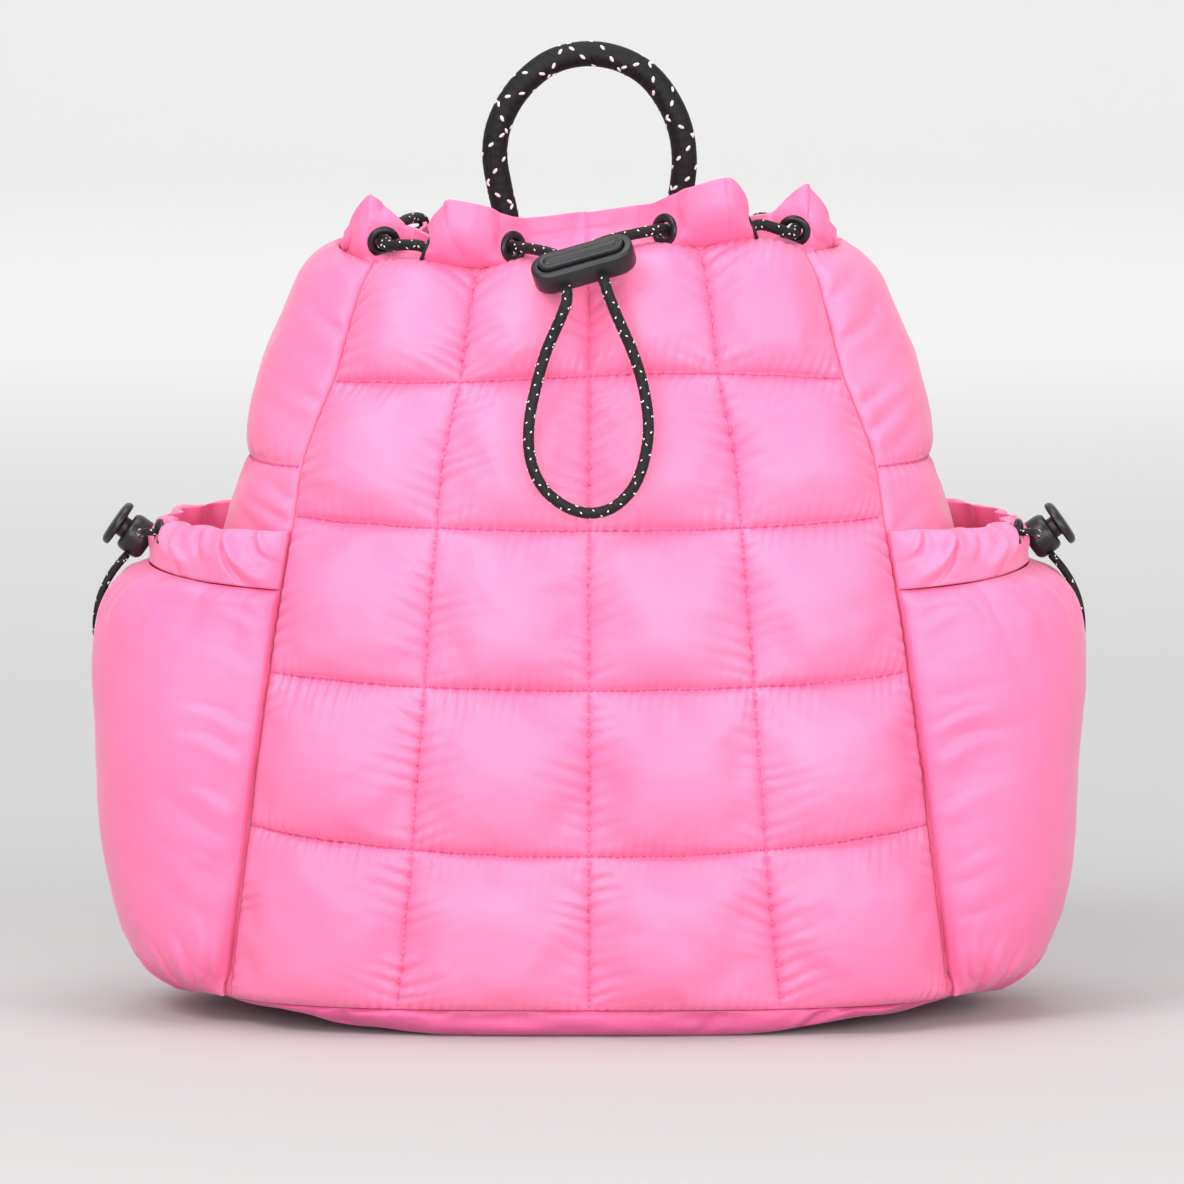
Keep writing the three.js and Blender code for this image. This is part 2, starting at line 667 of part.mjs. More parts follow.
function pleatAt(place, column) {
  const mirrored = place > HALF_FOLDS;
  const folds = mirrored ? 2 * HALF_FOLDS - place : place;
  const value = (index) => {
    const wrapped = index < 0 ? -index : index > HALF_FOLDS ? 2 * HALF_FOLDS - index : index;
    const flips = column === "across" || column === "seam";
    const beyond = column === "seam" ? 2 : 0;
    const base = PLEATS[wrapped][column];
    if (!flips || wrapped === index) return base;
    return index < 0 ? -base : beyond - base;
  };
  const row = Math.min(Math.floor(folds), HALF_FOLDS - 1);
  const t = folds - row;
  const [a, b, c, d] = [value(row - 1), value(row), value(row + 1), value(row + 2)];
  const curve =
    b + 0.5 * t * (c - a + t * (2 * a - 5 * b + 4 * c - d + t * (3 * (b - c) + d - a)));
  if (!mirrored) return curve;
  if (column === "across") return -curve;
  if (column === "seam") return 2 - curve;
  return curve;
}

// The collar's cloth at a place counted in folds, and a level from its lower edge (0) to its top (1).
// It stands straight up from inside the body as far as COLLAR_ROOT, and its pleats open above that.
function collarPoint(place, level) {
  const low = bodyPoint("around", pleatAt(place, "seam") / 2, BODY_TOP);
  const middle = sectionAt(BODY_TOP).middle;
  const toMiddle = new THREE.Vector2(low.x, low.y - middle).setLength(COLLAR_WALL + SEAM_GAP);
  low.x -= toMiddle.x;
  low.y -= toMiddle.y;
  const top = BODY_TOP + COLLAR_HEIGHT * pleatAt(place, "top");
  const high = new THREE.Vector3(
    COLLAR_HALF_WIDTH * pleatAt(place, "across"),
    COLLAR_HALF_DEPTH * pleatAt(place, "deep"),
    top,
  );
  const open = Math.sin((clamp01((level - COLLAR_ROOT) / COLLAR_OPENING) * Math.PI) / 2);
  const rootHeight = BODY_TOP + COLLAR_WALL;
  const z =
    level < COLLAR_ROOT
      ? mix(BODY_TOP - COLLAR_TUCK, rootHeight, level / COLLAR_ROOT)
      : mix(rootHeight, high.z, (level - COLLAR_ROOT) / (1 - COLLAR_ROOT));
  return slouch(new THREE.Vector3(mix(low.x, high.x, open), mix(low.y, high.y, open), z));
}

// The places and outward directions of all the eyelets, going round from the front's left one.
function eyeletFrames() {
  const right = EYELETS.map(({ fold, level }) => ({ fold: 2 * HALF_FOLDS - fold, level }));
  const cloth = (u, v) => collarPoint(2 * HALF_FOLDS * (1 - u), v);
  return [...EYELETS, ...right.reverse()].map(({ fold, level }) => ({
    centre: collarPoint(fold, level),
    out: outward(cloth, 1 - fold / (2 * HALF_FOLDS), level),
  }));
}

// An eyelet is a flange in front of the cloth and a barrel through it.
function eyeletGeometry() {
  const reach = COLLAR_WALL / 2 + EYELET_CLEARANCE;
  const barrel = EYELET_HOLE + EYELET_FLANGE;
  const profile = [
    [EYELET_HOLE, -reach],
    [barrel, -reach],
    [barrel, reach],
    [EYELET_RADIUS, reach],
    [EYELET_RADIUS - EYELET_FLANGE / 2, reach + EYELET_FLANGE],
    [EYELET_HOLE, reach + EYELET_FLANGE],
    [EYELET_HOLE, -reach],
  ];
  return new THREE.LatheGeometry(
    profile.map(([r, y]) => new THREE.Vector2(r, y)),
    EYELET_SIDES,
  );
}

const LATHE_AXIS = new THREE.Vector3(0, 1, 0);

function faceAlong(geometry, centre, direction) {
  const turn = new THREE.Quaternion().setFromUnitVectors(LATHE_AXIS, direction);
  return geometry.applyQuaternion(turn).translate(centre.x, centre.y, centre.z);
}

// The hole for an eyelet, and the cloth in front of it pressed flat under its flange.
function eyeletCut({ centre, out }) {
  const radius = EYELET_HOLE + EYELET_FLANGE + EYELET_CLEARANCE;
  const hole = new THREE.CylinderGeometry(radius, radius, 2 * EYELET_CUT, EYELET_SIDES);
  const flatRadius = EYELET_RADIUS + EYELET_CLEARANCE;
  const flat = new THREE.CylinderGeometry(flatRadius, flatRadius, EYELET_CUT, EYELET_SIDES);
  flat.translate(0, COLLAR_WALL / 2 + EYELET_CUT / 2, 0);
  return solidOf(faceAlong(hole, centre, out)).add(solidOf(faceAlong(flat, centre, out)));
}

function buildCollar() {
  const cloth = (u, v) => collarPoint(2 * HALF_FOLDS * (1 - u), v);
  let solid = solidOf(
    wall({
      across: 60,
      up: 4,
      outer: offset(cloth, () => COLLAR_WALL / 2),
      inner: offset(cloth, () => -COLLAR_WALL / 2),
      ring: true,
    }),
  );
  eyeletFrames().forEach((frame, i) => {
    solid = solid.subtract(eyeletCut(frame));
    const ring = faceAlong(eyeletGeometry(), frame.centre, frame.out);
    add("eyelet_" + (i + 1), ring, BLACK_PLASTIC);
  });
  add("collar", geometryFrom(solid), PINK);
}

// The front cord lock's frame: x along it, y up through its button's face, z to its lower side.
function lockMatrix() {
  const face = radians(LOCK_FACE_UP_DEG);
  const long = new THREE.Vector3(1, 0, 0);
  const up = new THREE.Vector3(0, -Math.cos(face), Math.sin(face));
  const low = new THREE.Vector3().crossVectors(long, up);
  const lean = new THREE.Matrix4().makeRotationAxis(
    new THREE.Vector3(0, -1, 0),
    radians(LOCK_TILT_DEG),
  );
  const axes = new THREE.Matrix4().makeBasis(long, up, low);
  return new THREE.Matrix4().setPosition(LOCK_CENTRE).multiply(lean).multiply(axes);
}

// A block with round ends, its length along x, its thickness along y from `from` to `to`.
function stadium(length, width, from, to, bevel) {
  const shape = new THREE.Shape();
  const straight = (length - width) / 2;
  const radius = width / 2 - bevel;
  shape.absarc(straight, 0, radius, -Math.PI / 2, Math.PI / 2, false);
  shape.absarc(-straight, 0, radius, Math.PI / 2, (3 * Math.PI) / 2, false);
  const geometry = new THREE.ExtrudeGeometry(shape, {
    depth: to - from - 2 * bevel,
    bevelEnabled: bevel > 0,
    bevelThickness: bevel,
    bevelSize: bevel,
    bevelSegments: 1,
    curveSegments: LOCK_SIDES,
  });
  return geometry.rotateX(-Math.PI / 2).translate(0, from + bevel, 0);
}

// Where the four ends of the drawcord enter the lock: two on the upper side, two on the lower.
function lockHoles(side) {
  const underWell = -LOCK_WELL / 2; // midway between the well's floor and the back
  return [-1, 1].map((end) => ({
    side,
    mouth: new THREE.Vector3(
      LOCK_HOLE_SHIFT + (end * LOCK_HOLE_SPACING) / 2,
      underWell,
      (side * LOCK_WIDTH) / 2,
    ),
  }));
}

// A point outside a hole's mouth, or inside it where `away` is negative.
function besideHole({ side, mouth }, away) {
  return mouth.clone().add(new THREE.Vector3(0, 0, side * away)).applyMatrix4(lockMatrix());
}

function buildCordLock() {
  const matrix = lockMatrix();
  const wellWidth = LOCK_WIDTH - 2 * LOCK_BUTTON_RIM;
  const wellLength = LOCK_LENGTH - 2 * LOCK_BUTTON_RIM;
  const top = LOCK_DEPTH / 2;
  let body = solidOf(stadium(LOCK_LENGTH, LOCK_WIDTH, -top, top, LOCK_EDGE));
  const well = stadium(wellLength, wellWidth, top - LOCK_WELL, top + LOCK_WELL, 0);
  body = body.subtract(solidOf(well));
  for (const { mouth } of [...lockHoles(-1), ...lockHoles(1)]) {
    const radius = CORD_DIAMETER / 2 + CORD_CLEARANCE;
    const hole = new THREE.CylinderGeometry(radius, radius, 2 * LOCK_HOLE_DEPTH, CORD_SIDES);
    body = body.subtract(solidOf(hole.rotateX(Math.PI / 2).translate(mouth.x, mouth.y, mouth.z)));
  }
  add("cord_lock_body", geometryFrom(body).applyMatrix4(matrix), BLACK_PLASTIC);
  const button = stadium(
    wellLength - 2 * SLIDE_CLEARANCE,
    wellWidth - 2 * SLIDE_CLEARANCE,
    top - LOCK_BUTTON_SINK,
    top + LOCK_BUTTON_RISE,
    LOCK_BUTTON_EDGE,
  );
  add("cord_lock_button", button.applyMatrix4(matrix), BLACK_PLASTIC);
}

// The drawcord round the collar: in through one eyelet, out through the next, and both ends to the
// upper side of the lock.
function buildDrawcord() {
  const [first, last] = lockHoles(-1);
  const inside = -LOCK_HOLE_DEPTH / 2;
  const points = [besideHole(first, inside), besideHole(first, CORD_DIAMETER)];
  const through = CORD_DIAMETER * 0.9;
  eyeletFrames().forEach(({ centre, out }, i) => {
    const inward = i % 2 === 0 ? 1 : -1;
    points.push(centre.clone().addScaledVector(out, inward * through));
    points.push(centre.clone().addScaledVector(out, -inward * through));
  });
  points.push(besideHole(last, CORD_DIAMETER), besideHole(last, inside));
  add("drawcord_ring", cordGeometry(points, CORD_DIAMETER, 60), BLACK_CORD);
  const loop = LOOP_ROUTE.map(fromTopSeam);
  add("drawcord_loop", cordGeometry(loop, CORD_DIAMETER, 24), BLACK_CORD);
}

// Side pockets, made on the right and mirrored. u is a share of the way from the front seam to the
// rear one.
const casingHeight = (u) => CASING_HEIGHT * (1 - CASING_DIP * Math.sin(Math.PI * u));
const pocketBottom = (u) => BASE_SEAM + SEAM_GAP / 2 - POCKET_SAG * Math.sin(Math.PI * u) ** 2;

// The right pocket's cloth at a height.
function pocketPoint(u, z) {
  const side = (a, b) => bodyPoint("right", a, mix(BASE_SEAM, BODY_TOP, b));
  const sewnTo = offset(side, () => SEAM_WALL + SEAM_GAP + POCKET_WALL);
  const share = clamp01((z - BASE_SEAM) / (BODY_TOP - BASE_SEAM));
  const front = sewnTo(0, share);
  const rear = sewnTo(1, share);
  const flat = sewnTo(u, share);
  const reach =
    POCKET_HALF_SPAN * readTable(POCKET_PROFILE, "height", "reach", z / POCKET_RIM_TOP);
  const middle = (front.x + rear.x) / 2;
  const x = mix(front.x, rear.x, u) + (reach - middle) * Math.sin(Math.PI * u) ** POCKET_ROUNDNESS;
  const y = mix(front.y, rear.y, (1 - Math.cos(Math.PI * u)) / 2);
  const floor = 1 - clamp01((z - pocketBottom(u)) / POCKET_FLOOR);
  const swell = Math.sqrt(1 - floor * floor);
  return new THREE.Vector3(mix(flat.x, x, swell), mix(flat.y, y, swell), z);
}

function mirrored(geometry) {
  const turned = geometry.clone().scale(-1, 1, 1);
  if (turned.index) {
    const index = turned.index.array;
    for (let i = 0; i < index.length; i += 3)
      [index[i + 1], index[i + 2]] = [index[i + 2], index[i + 1]];
    return turned;
  }
  const position = turned.attributes.position;
  const hold = new THREE.Vector3();
  const other = new THREE.Vector3();
  for (let i = 0; i < position.count; i += 3) {
    hold.fromBufferAttribute(position, i + 1);
    other.fromBufferAttribute(position, i + 2);
    position.setXYZ(i + 1, other.x, other.y, other.z);
    position.setXYZ(i + 2, hold.x, hold.y, hold.z);
  }
  return turned;
}

function addPair(name, geometry, look) {
  add(name + "_right", geometry, look);
  add(name + "_left", mirrored(geometry), look);
}

function rimPoint(u, v) {
  const bottom = POCKET_RIM_TOP - casingHeight(u) + SEAM_GAP / 2;
  const point = pocketPoint(u, mix(bottom, POCKET_RIM_TOP, v));
  const fade = Math.sin(Math.PI * u) ** 0.5 * Math.sin((v * Math.PI) / 2);
  const wave = RIM_GATHER_DEPTH * fade * Math.cos(2 * Math.PI * RIM_GATHERS * u);
  return point.add(new THREE.Vector3(Math.sin(Math.PI * u), -Math.cos(Math.PI * u), 0)
    .multiplyScalar(wave));
}

function pocketLockFrame() {
  const rest = pocketPoint(POCKET_LOCK_ALONG, POCKET_LOCK_LEVEL);
  const lean = radians(POCKET_LOCK_TILT_DEG);
  const axis = new THREE.Vector3(Math.sin(lean), 0, Math.cos(lean));
  return { foot: rest.addScaledVector(axis, RIM_GATHER_DEPTH + POCKET_LOCK_GAP), axis };
}

function buildPockets() {
  const cloth = (u, v) => {
    const top = POCKET_RIM_TOP - casingHeight(u) - SEAM_GAP / 2;
    return pocketPoint(u, mix(pocketBottom(u), top, v ** POCKET_ROW_CROWDING));
  };
  addPair(
    "pocket",
    wall({
      across: 14,
      up: 10,
      outer: cloth,
      inner: offset(cloth, () => -POCKET_WALL),
      coarse: { across: 1, up: 2 },
    }),
    PINK,
  );
  addPair(
    "pocket_rim",
    wall({
      across: 36,
      up: 2,
      outer: rimPoint,
      inner: offset(rimPoint, (u) => -mix(POCKET_WALL, CASING_WALL, Math.sin(Math.PI * u))),
    }),
    PINK,
  );
}

// Where the pocket's eyelet lies on the rim, and the way that it faces.
function pocketEyeletFrame() {
  const out = outward(rimPoint, POCKET_EYELET_ALONG, POCKET_EYELET_LEVEL);
  const rest = rimPoint(POCKET_EYELET_ALONG, POCKET_EYELET_LEVEL);
  return { centre: rest.addScaledVector(out, EYELET_CLEARANCE + EYELET_FLANGE), out };
}

function buildPocketLocks() {
  const { foot, axis } = pocketLockFrame();
  const { centre, out } = pocketEyeletFrame();
  const hole = POCKET_CORD_DIAMETER / 2 + 0.6;
  const ring = new THREE.LatheGeometry(
    [
      [hole, -EYELET_FLANGE],
      [POCKET_EYELET_RADIUS, -EYELET_FLANGE],
      [POCKET_EYELET_RADIUS * 0.9, EYELET_FLANGE],
      [hole, EYELET_FLANGE],
      [hole, -EYELET_FLANGE],
    ].map(([r, y]) => new THREE.Vector2(r, y)),
    POCKET_LOCK_SIDES,
  );
  addPair("pocket_eyelet", faceAlong(ring, centre, out), BLACK_PLASTIC);
  const body = new THREE.LatheGeometry(
    [
      [0, 0],
      [POCKET_LOCK_RADIUS * 0.8, 0],
      [POCKET_LOCK_RADIUS, POCKET_LOCK_HEIGHT * 0.25],
      [POCKET_LOCK_RADIUS, POCKET_LOCK_HEIGHT * 0.8],
      [POCKET_LOCK_RADIUS * 0.85, POCKET_LOCK_HEIGHT],
      [POCKET_LOCK_STEM_RADIUS + SLIDE_CLEARANCE, POCKET_LOCK_HEIGHT],
      [POCKET_LOCK_STEM_RADIUS + SLIDE_CLEARANCE, POCKET_LOCK_HEIGHT - POCKET_LOCK_WELL],
      [0, POCKET_LOCK_HEIGHT - POCKET_LOCK_WELL],
    ].map(([r, y]) => new THREE.Vector2(r, y)),
    POCKET_LOCK_SIDES,
  );
  addPair("pocket_lock_body", faceAlong(body, foot, axis), BLACK_PLASTIC);
  const under = POCKET_LOCK_HEIGHT + POCKET_LOCK_TRAVEL;
  const button = new THREE.LatheGeometry(
    [
      [0, POCKET_LOCK_HEIGHT - POCKET_LOCK_STEM_SINK],
      [POCKET_LOCK_STEM_RADIUS, POCKET_LOCK_HEIGHT - POCKET_LOCK_STEM_SINK],
      [POCKET_LOCK_STEM_RADIUS, under],
      [POCKET_LOCK_DISC_RADIUS, under],
      [POCKET_LOCK_DISC_RADIUS, under + POCKET_LOCK_DISC * 0.6],
      [POCKET_LOCK_DISC_RADIUS * 0.8, under + POCKET_LOCK_DISC],
      [0, under + POCKET_LOCK_DISC * 1.1],
    ].map(([r, y]) => new THREE.Vector2(r, y)),
    POCKET_LOCK_SIDES,
  );
  addPair("pocket_lock_button", faceAlong(button, foot, axis), BLACK_PLASTIC);
  // Both strands leave the lock's lower side.
  const down = new THREE.Vector3(axis.z, 0, -axis.x);
  const leave = foot
    .clone()
    .addScaledVector(axis, POCKET_LOCK_HEIGHT * 0.45)
    .addScaledVector(down, POCKET_LOCK_RADIUS + CORD_CLEARANCE);
  const points = POCKET_LOOP_ROUTE.map(
    ([out, back, up]) => new THREE.Vector3(leave.x + out, leave.y + back, leave.z + up),
  );
  addPair("pocket_cord", cordGeometry(points, POCKET_CORD_DIAMETER, 14), BLACK_CORD);
  // The feed comes out of the eyelet and enters the lock on the side that faces it.
  const barrel = foot.clone().addScaledVector(axis, POCKET_LOCK_HEIGHT * 0.5);
  const towards = centre.clone().sub(barrel).projectOnPlane(axis).normalize();
  const feed = [
    centre.clone().addScaledVector(out, -EYELET_FLANGE * 0.7),
    centre.clone().addScaledVector(out, POCKET_CORD_DIAMETER * 1.6),
    barrel.clone().addScaledVector(towards, POCKET_LOCK_RADIUS + POCKET_CORD_DIAMETER),
    barrel.clone().addScaledVector(towards, POCKET_LOCK_RADIUS + CORD_CLEARANCE),
  ];
  addPair("pocket_feed", cordGeometry(feed, POCKET_CORD_DIAMETER, 5), BLACK_CORD);
}

function buildHandle() {
  const points = HANDLE_ROUTE.map(fromTopSeam);
  add("rope_handle", cordGeometry(points, ROPE_DIAMETER, 14), BLACK_CORD);
}

// Shoulder straps behind the back panel, made on the right and mirrored.
function backSurface(x, height) {
  const z = height * BODY_TOP;
  const section = sectionAt(z);
  const share = Math.pow(1 - Math.pow(x / section.halfWidth, CORNER_POWER), 1 / CORNER_POWER);
  const level = clamp01((z - BASE_SEAM) / (BODY_TOP - BASE_SEAM));
  const puff = BACK_PUFF * crown(level, BACK_FULLNESS);
  return section.middle + section.halfDepth * share + SEAM_WALL + puff;
}

function strapLine(height) {
  const read = (column) => {
    const rows = [...STRAP_ROUTE].reverse();
    return readTable(rows, "height", column, height);
  };
  const x = BODY_HALF_WIDTH * read("across");
  const away = SEAM_GAP + STRAP_WALL + STRAP_STANDOFF * read("standoff");
  const point = new THREE.Vector3(x, backSurface(x, height) + away, height * BODY_TOP);
  return { point, width: STRAP_WIDTH * read("width") };
}

function buildStraps() {
  const first = STRAP_ROUTE[STRAP_ROUTE.length - 1].height;
  const last = STRAP_ROUTE[0].height;
  const cloth = (u, v) => {
    const { point, width } = strapLine(mix(first, last, v));
    return point.add(new THREE.Vector3((0.5 - u) * width, 0, 0));
  };
  const plump = (u) => mix(STRAP_EDGE, 1, crown(u, STRAP_FULLNESS));
  addPair(
    "shoulder_strap",
    wall({
      across: 4,
      up: 10,
      outer: cloth,
      inner: offset(cloth, (u) => -STRAP_WALL * plump(u)),
    }),
    PINK,
  );
  const lower = strapLine(first).point;
  const bucklePlace = new THREE.Vector3(
    lower.x + BUCKLE_SHIFT,
    lower.y - STRAP_WALL / 2,
    lower.z - SEAM_GAP / 2 - BUCKLE_HEIGHT / 2,
  );
  const frame = new THREE.Shape();
  frame.moveTo(-BUCKLE_WIDTH / 2, -BUCKLE_HEIGHT / 2);
  frame.lineTo(BUCKLE_WIDTH / 2, -BUCKLE_HEIGHT / 2);
  frame.lineTo(BUCKLE_WIDTH / 2, BUCKLE_HEIGHT / 2);
  frame.lineTo(-BUCKLE_WIDTH / 2, BUCKLE_HEIGHT / 2);
  frame.closePath();
  const slotHalf = WEBBING_WIDTH / 2 + BUCKLE_SLOT_CLEARANCE;
  for (const middle of [BUCKLE_HEIGHT * BUCKLE_SLOT_AT, -BUCKLE_HEIGHT * BUCKLE_SLOT_AT]) {
    const slot = new THREE.Path();
    slot.moveTo(-slotHalf, middle - BUCKLE_SLOT / 2);
    slot.lineTo(-slotHalf, middle + BUCKLE_SLOT / 2);
    slot.lineTo(slotHalf, middle + BUCKLE_SLOT / 2);
    slot.lineTo(slotHalf, middle - BUCKLE_SLOT / 2);
    slot.closePath();
    frame.holes.push(slot);
  }
  const buckle = new THREE.ExtrudeGeometry(frame, { depth: BUCKLE_WALL, bevelEnabled: false })
    .translate(0, 0, -BUCKLE_WALL / 2)
    .rotateX(Math.PI / 2)
    .translate(bucklePlace.x, bucklePlace.y, bucklePlace.z);
  addPair("ladder_lock", buckle, BLACK_PLASTIC);
  const webStart = bucklePlace.z - BUCKLE_HEIGHT / 2 - 1.5 * SEAM_GAP;
  const webEnd = WEBBING_END * BODY_TOP;
  const endX = bucklePlace.x + WEBBING_SPLAY;
  const endY = backSurface(endX - WEBBING_WIDTH / 2, WEBBING_END) + SEAM_GAP + WEBBING_WALL;
  const webbing = (u, v) => {
    const sag = Math.sin(Math.PI * v) * WEBBING_SAG;
    return new THREE.Vector3(
      mix(endX, bucklePlace.x, v) + (0.5 - u) * WEBBING_WIDTH,
      mix(endY, bucklePlace.y, v) + sag,
      mix(webEnd, webStart, v),
    );
  };
  addPair(
    "strap_webbing",
    wall({
      across: 1,
      up: 8,
      outer: webbing,
      inner: offset(webbing, () => -WEBBING_WALL),
    }),
    BLACK_CORD,
  );
}

buildBody();
buildBase();
buildCollar();
buildCordLock();
buildDrawcord();
buildPockets();
buildPocketLocks();
buildHandle();
buildStraps();

// The middle of the whole, straps included, is the part's middle.
const whole = new THREE.Box3().setFromObject(group);
group.position.y = -(whole.min.y + whole.max.y) / 2;

export default group;
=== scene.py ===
import math

import bpy
import numpy as np
from mathutils import Matrix, Vector


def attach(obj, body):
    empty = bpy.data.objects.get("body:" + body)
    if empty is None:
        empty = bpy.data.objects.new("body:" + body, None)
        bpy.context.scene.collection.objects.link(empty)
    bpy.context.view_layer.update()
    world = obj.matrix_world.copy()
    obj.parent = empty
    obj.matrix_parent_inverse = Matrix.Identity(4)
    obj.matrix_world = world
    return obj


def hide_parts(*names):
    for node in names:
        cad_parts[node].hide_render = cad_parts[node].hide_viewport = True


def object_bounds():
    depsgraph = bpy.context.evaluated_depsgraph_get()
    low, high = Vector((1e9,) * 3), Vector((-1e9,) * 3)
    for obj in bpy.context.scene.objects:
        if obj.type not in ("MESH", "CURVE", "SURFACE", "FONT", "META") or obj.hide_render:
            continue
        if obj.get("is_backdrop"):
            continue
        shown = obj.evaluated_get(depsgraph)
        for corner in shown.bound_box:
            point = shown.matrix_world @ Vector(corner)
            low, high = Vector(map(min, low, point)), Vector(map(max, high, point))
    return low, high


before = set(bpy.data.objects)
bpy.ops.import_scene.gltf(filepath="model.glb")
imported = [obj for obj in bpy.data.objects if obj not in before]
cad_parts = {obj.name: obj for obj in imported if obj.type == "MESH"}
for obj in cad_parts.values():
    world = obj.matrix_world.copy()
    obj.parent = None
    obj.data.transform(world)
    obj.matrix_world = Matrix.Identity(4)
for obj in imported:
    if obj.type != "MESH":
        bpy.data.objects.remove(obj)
cad_box = [list(corner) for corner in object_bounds()]

# The soft pieces are worked out in millimetres in the bag's own frame, as the part's source does.
# The part's frame has its origin this much further back.
SHIFT = np.array([0.0, -14.79269, 0.0])

BODY_TOP = 303.0
BASE_SEAM = 11.0
BODY_HALF_WIDTH = 152.0
BODY_HALF_DEPTH = 90.0
CORNER_POWER = 3.0
SEAM_WALL = 4.0
SEAM_GAP = 0.6
FRONT_TILT = 4.5
FRONT_TILT_AT = 55.0
COLLAR_HEIGHT = 31.0
COLLAR_HALF_WIDTH = 100.0
COLLAR_HALF_DEPTH = 66.0
COLLAR_WALL = 1.5
COLLAR_TUCK = 7.0
COLLAR_ROOT = 0.25
COLLAR_OPENING = 0.5
EYELET_RADIUS = 6.5
EYELET_HOLE = 3.3
CORD_DIAMETER = 4.5
POCKET_CORD_DIAMETER = 3.0
ROPE_DIAMETER = 10.3
LOCK_LENGTH = 41.0
LOCK_WIDTH = 15.0
LOCK_DEPTH = 10.0
LOCK_WELL = 5.6
LOCK_HOLE_SPACING = 14.5
LOCK_HOLE_SHIFT = -1.8
POCKET_HALF_SPAN = 196.5
POCKET_RIM_TOP = 198.0
POCKET_WALL = 2.0
POCKET_SAG = 6.3
POCKET_FLOOR = 22.0
POCKET_LOCK_ALONG = 0.57
POCKET_LOCK_LEVEL = 182.0
POCKET_LOCK_TILT = 55.0
CASING_HEIGHT = 23.0
CASING_WALL = 4.0
RIM_GATHERS = 8
RIM_GATHER_DEPTH = 2.2
STRAP_WIDTH = 52.0
STRAP_WALL = 9.0
STRAP_STANDOFF = 32.0
WEBBING_WIDTH = 20.0
WEBBING_WALL = 1.6

SECTION_COLUMNS = ("height", "width", "depth", "front_seam", "rear_seam", "back_shift")
SECTIONS = np.array([
    (0.0, 0.97, 0.93, 0.945, 0.8, 0.0),
    (0.212, 0.995, 1.0, 0.877, 0.8, 0.0),
    (0.435, 0.975, 1.0, 0.84, 0.8, 0.0),
    (0.647, 0.882, 0.955, 0.852, 0.8, 0.02),
    (0.743, 0.853, 0.915, 0.842, 0.8, 0.04),
    (0.849, 0.791, 0.85, 0.812, 0.8, 0.06),
    (0.921, 0.734, 0.79, 0.823, 0.8, 0.075),
    (0.962, 0.706, 0.75, 0.825, 0.8, 0.083),
    (1.0, 0.655, 0.7, 0.85, 0.8, 0.09),
])
# Stitch lines: height as a share of the wall, and the rise of the line's ends.
FRONT_ROWS = [(0, 0), (0.212, 0.032), (0.435, 0.016), (0.647, 0.011), (0.849, -0.011), (1, 0)]
SIDE_ROWS = [(0, 0), (0.25, 0), (0.5, 0), (0.723, 0), (1, 0)]
BACK_ROWS = [(0, 0), (1, 0)]
# Pleats of the collar: seam, across, deep, top.
PLEATS = np.array([
    (0.0, 0.0, -0.58, 0.58),
    (0.09, -0.25, -0.72, 0.63),
    (0.135, -0.39, -0.93, 0.84),
    (0.19, -0.55, -1.0, 0.96),
    (0.235, -0.62, -0.82, 0.6),
    (0.285, -0.63, -0.58, 0.42),
    (0.325, -0.73, -0.47, 0.5),
    (0.375, -0.86, -0.54, 0.86),
    (0.43, -0.97, -0.32, 0.3),
    (0.5, -0.81, -0.04, 0.26),
    (0.585, -0.68, 0.14, 0.22),
    (0.66, -0.64, 0.38, 0.38),
    (0.78, -0.53, 0.62, 0.32),
    (0.9, -0.26, 0.7, 0.26),
    (1.0, 0.0, 0.68, 0.28),
])
HALF_FOLDS = len(PLEATS) - 1
EYELETS = [(1.35, 0.53), (4.45, 0.62), (6.45, 0.52), (9.45, 0.62), (11.2, 0.58)]
POCKET_PROFILE = np.array([
    (0.02, 0.8), (0.08, 0.89), (0.13, 0.921), (0.22, 0.957), (0.35, 0.979),
    (0.58, 0.994), (0.68, 1.0), (0.8, 0.988), (0.87, 0.952), (0.91, 0.897),
    (0.95, 0.872), (1.0, 0.863),
])
# The strap from its lower end up: height, across, standoff, width.
STRAP_ROUTE = np.array([
    (0.42, 0.56, 0.75, 0.55),
    (0.52, 0.51, 0.92, 0.85),
    (0.66, 0.43, 1.0, 1.0),
    (0.8, 0.36, 0.85, 1.0),
    (0.91, 0.3, 0.42, 0.95),
    (0.95, 0.27, -0.045, 0.8),
])

